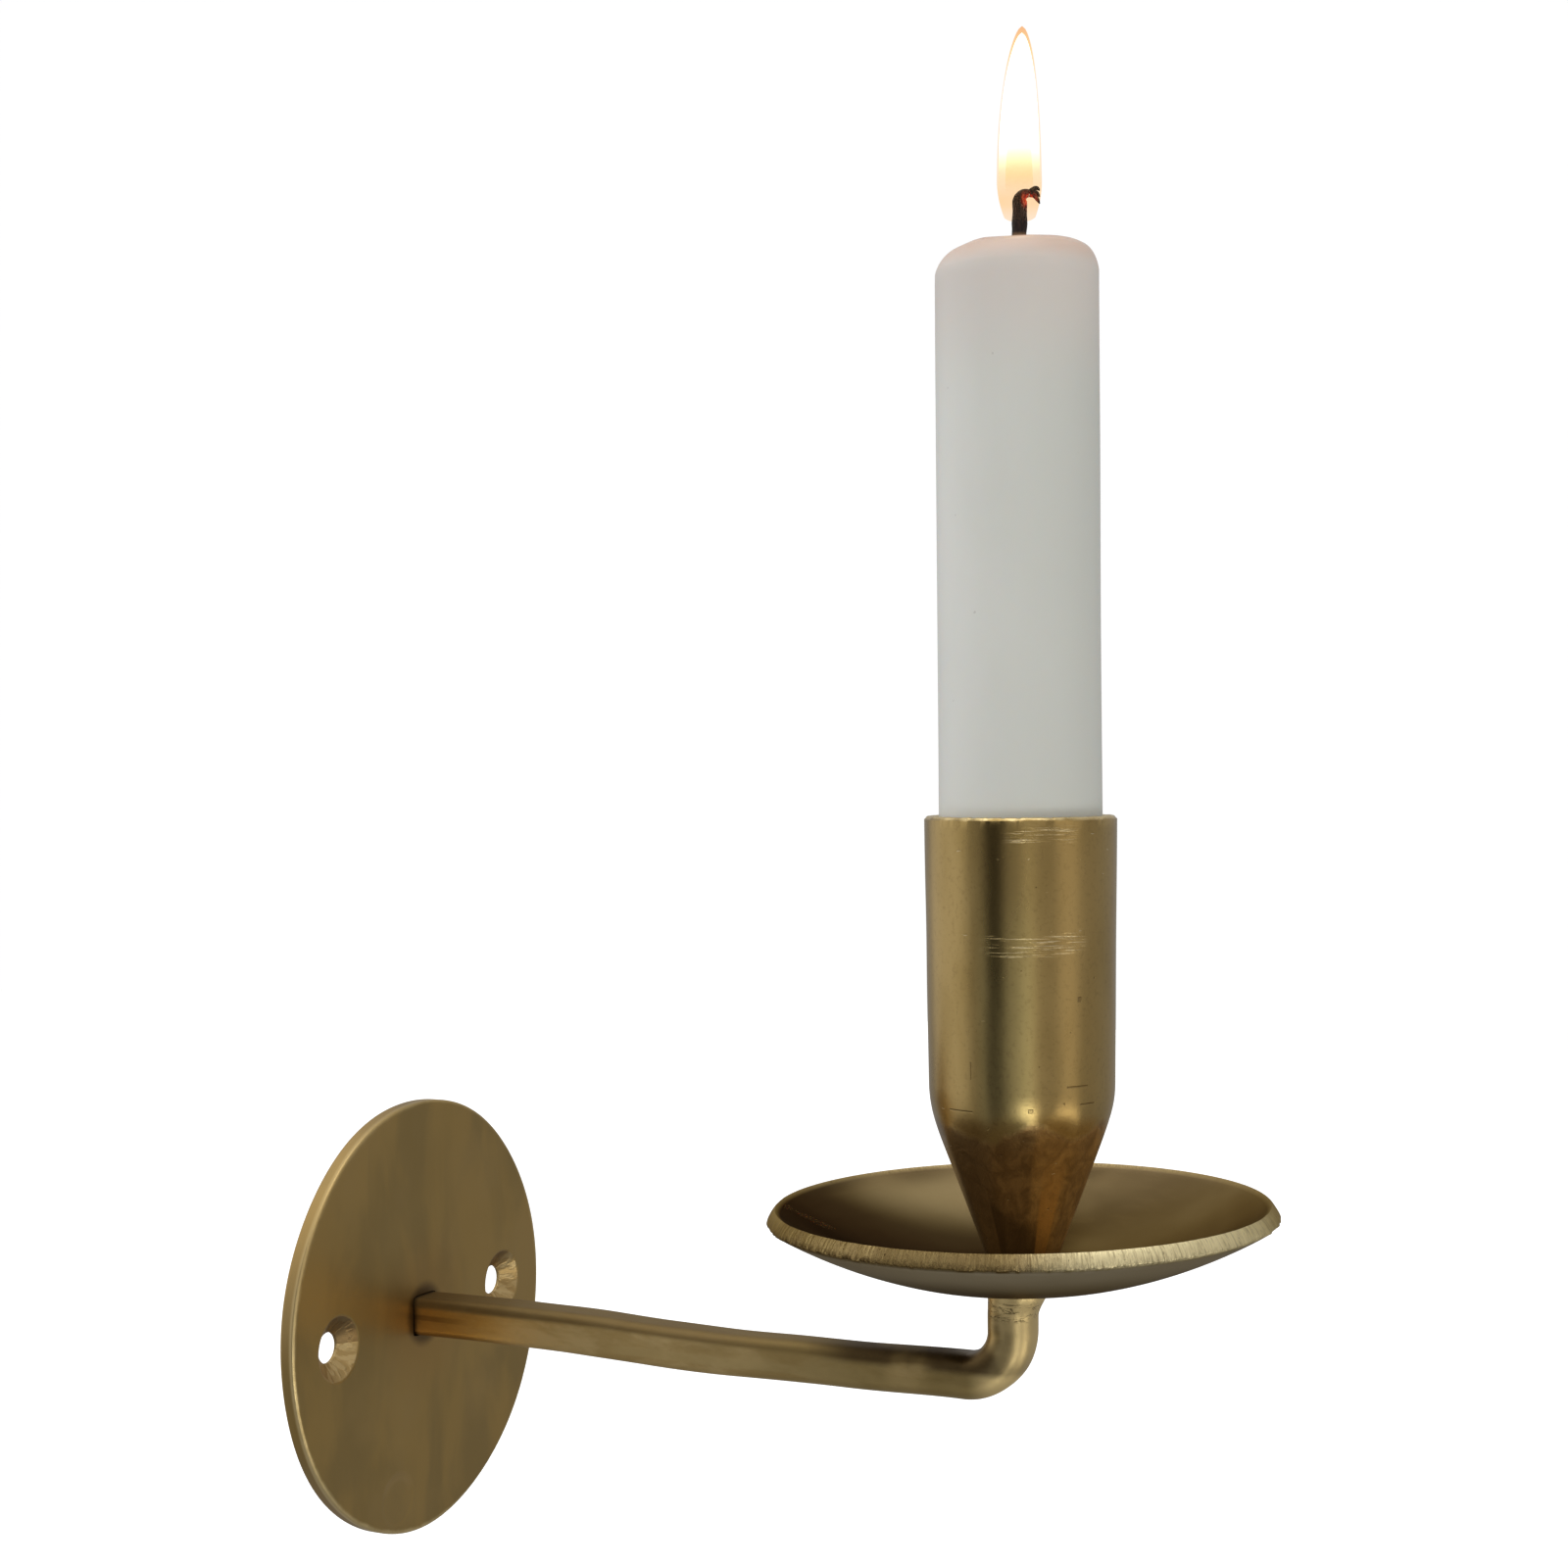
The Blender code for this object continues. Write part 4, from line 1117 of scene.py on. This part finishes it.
def softbox(name, turn, up, distance, size, power, colour):
    light = bpy.data.lights.new(name, "AREA")
    light.shape = "RECTANGLE"
    light.size, light.size_y = size
    light.energy = power
    light.color = colour
    lamp = bpy.data.objects.new(name, light)
    lamp.location = CENTRE + direction_of(turn, up) * distance
    lamp.rotation_euler = (CENTRE - lamp.location).to_track_quat("-Z", "Y").to_euler()
    lamp.visible_camera = False
    bpy.context.scene.collection.objects.link(lamp)


def plain_look(name, colour, glow):
    """An even grey that also gives out white light."""
    return Nodes(name).surface(
        Base_Color=colour, Roughness=0.9, Emission_Color=(1.0, 1.0, 1.0), Emission_Strength=glow
    )


def flag(name, turn, up, distance, size):
    """A black card that shows only in reflections."""
    w, h = size[0] / 2, size[1] / 2
    card = plain_mesh(name, ((-w, -h, 0), (w, -h, 0), (w, h, 0), (-w, h, 0)), [(0, 1, 2, 3)])
    card.data.materials.append(plain_look(name, (0.0, 0.0, 0.0), 0.0))
    card.location = CENTRE + direction_of(turn, up) * distance
    card.rotation_euler = (CENTRE - card.location).to_track_quat("-Z", "Y").to_euler()
    card.visible_camera = False
    card.visible_shadow = False
    card.visible_diffuse = False


def make_floor():
    """A pale floor below the sconce, and a white backdrop all round. Neither shows in the metal."""
    floor_z, half = -0.30, 3.0
    corners = [(x * half, y * half, floor_z) for x, y in ((-1, -1), (1, -1), (1, 1), (-1, 1))]
    floor = plain_mesh("floor", corners, [(0, 1, 2, 3)])
    floor.data.materials.append(plain_look("pale_floor", (0.8, 0.8, 0.8), 0.85))
    far = 4.0
    leans = [math.pi * i / 24 for i in range(1, 24)]
    outline = [(far * math.sin(lean), far * math.cos(lean)) for lean in leans]
    backdrop = plain_mesh("backdrop", *skin(turned_rings(outline, 48, Vector()), closed=False))
    backdrop.data.materials.append(plain_look("white_backdrop", (0.0, 0.0, 0.0), 1.0))
    for thing in (floor, backdrop):
        thing.visible_glossy = False
        thing.visible_diffuse = False
        thing.visible_shadow = False


def make_world():
    """Soft grey light: brighter above, dim below."""
    world = bpy.data.worlds.new("studio")
    bpy.context.scene.world = world
    world.use_nodes = True
    tree = world.node_tree
    back = tree.nodes["Background"]
    coordinate = tree.nodes.new("ShaderNodeTexCoord")
    split = tree.nodes.new("ShaderNodeSeparateXYZ")
    ramp = tree.nodes.new("ShaderNodeValToRGB")
    scale = tree.nodes.new("ShaderNodeMapRange")
    scale.inputs["From Min"].default_value = -1.0
    tree.links.new(coordinate.outputs["Generated"], split.inputs[0])
    tree.links.new(split.outputs["Z"], scale.inputs["Value"])
    tree.links.new(scale.outputs[0], ramp.inputs[0])
    tree.links.new(ramp.outputs[0], back.inputs["Color"])
    stops = ((0.0, 0.22), (0.42, 0.32), (0.55, 0.42), (1.0, 0.60))
    while len(ramp.color_ramp.elements) < len(stops):
        ramp.color_ramp.elements.new(1.0)
    for element, (place, grey) in zip(ramp.color_ramp.elements, stops):
        element.position = place
        element.color = (grey, grey, grey, 1.0)
    back.inputs["Strength"].default_value = 1.0


def make_camera():
    """The camera looks a little down and is rolled a little, as the photograph was taken."""
    back = direction_of(0, 0)
    back = Vector((back.x * math.cos(CAMERA_DOWN), back.y * math.cos(CAMERA_DOWN), math.sin(CAMERA_DOWN)))
    right = (-back).cross(Vector((0, 0, 1))).normalized()
    upward = back.cross(right)
    turned_right = right * math.cos(CAMERA_ROLL) + upward * math.sin(CAMERA_ROLL)
    turned_up = upward * math.cos(CAMERA_ROLL) - right * math.sin(CAMERA_ROLL)
    camera = bpy.data.objects.new("camera", bpy.data.cameras.new("camera"))
    camera.data.lens = CAMERA_LENS_MM
    camera.data.sensor_width = 36.0
    camera.data.clip_start = 0.01
    turned = Matrix((turned_right, turned_up, back)).transposed().to_4x4()
    camera.matrix_world = Matrix.Translation(CAMERA_PLACE) @ turned
    bpy.context.scene.collection.objects.link(camera)
    bpy.context.scene.camera = camera


def make_lights():
    """Broad and dim, so that the satin metal shows wide soft bands. Strength is each light's brightness."""
    # name, turn and height in degrees, distance, size, strength, colour
    boxes = (
        ("left_box", -106, 14, 1.2, (1.7, 2.2), 0.40, (1.0, 1.0, 1.0)),
        ("right_box", 54, 14, 1.2, (0.55, 1.6), 0.31, (1.0, 0.93, 0.84)),
        ("front_box", 5, 4, 1.3, (0.34, 1.6), 0.26, (1.0, 1.0, 0.92)),
        ("top_box", -30, 74, 1.1, (1.0, 1.0), 1.1, (1.0, 1.0, 1.0)),
        ("low_front", 4, -30, 1.0, (0.35, 0.35), 3.4, (1.0, 1.0, 0.95)),
        ("low_right", 56, -32, 1.0, (0.45, 0.40), 1.8, (1.0, 0.97, 0.88)),
    )
    for name, turn, up, distance, size, strength, colour in boxes:
        softbox(name, turn, up, distance, size, strength * math.pi * size[0] * size[1], colour)
    flag("flag", -34, 8, 0.9, (0.40, 1.5))


def main():
    make_camera()
    make_plate()
    make_arm()
    make_dish()
    make_cup()
    make_candle()
    make_wick()
    make_flame()
    screw = screw_look()
    for node in ("cup_screw", "cup_washer"):
        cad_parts[node].data.materials.clear()
        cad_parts[node].data.materials.append(screw)
    make_floor()
    make_world()
    make_lights()
    bpy.context.scene.view_settings.view_transform = "Standard"


main()
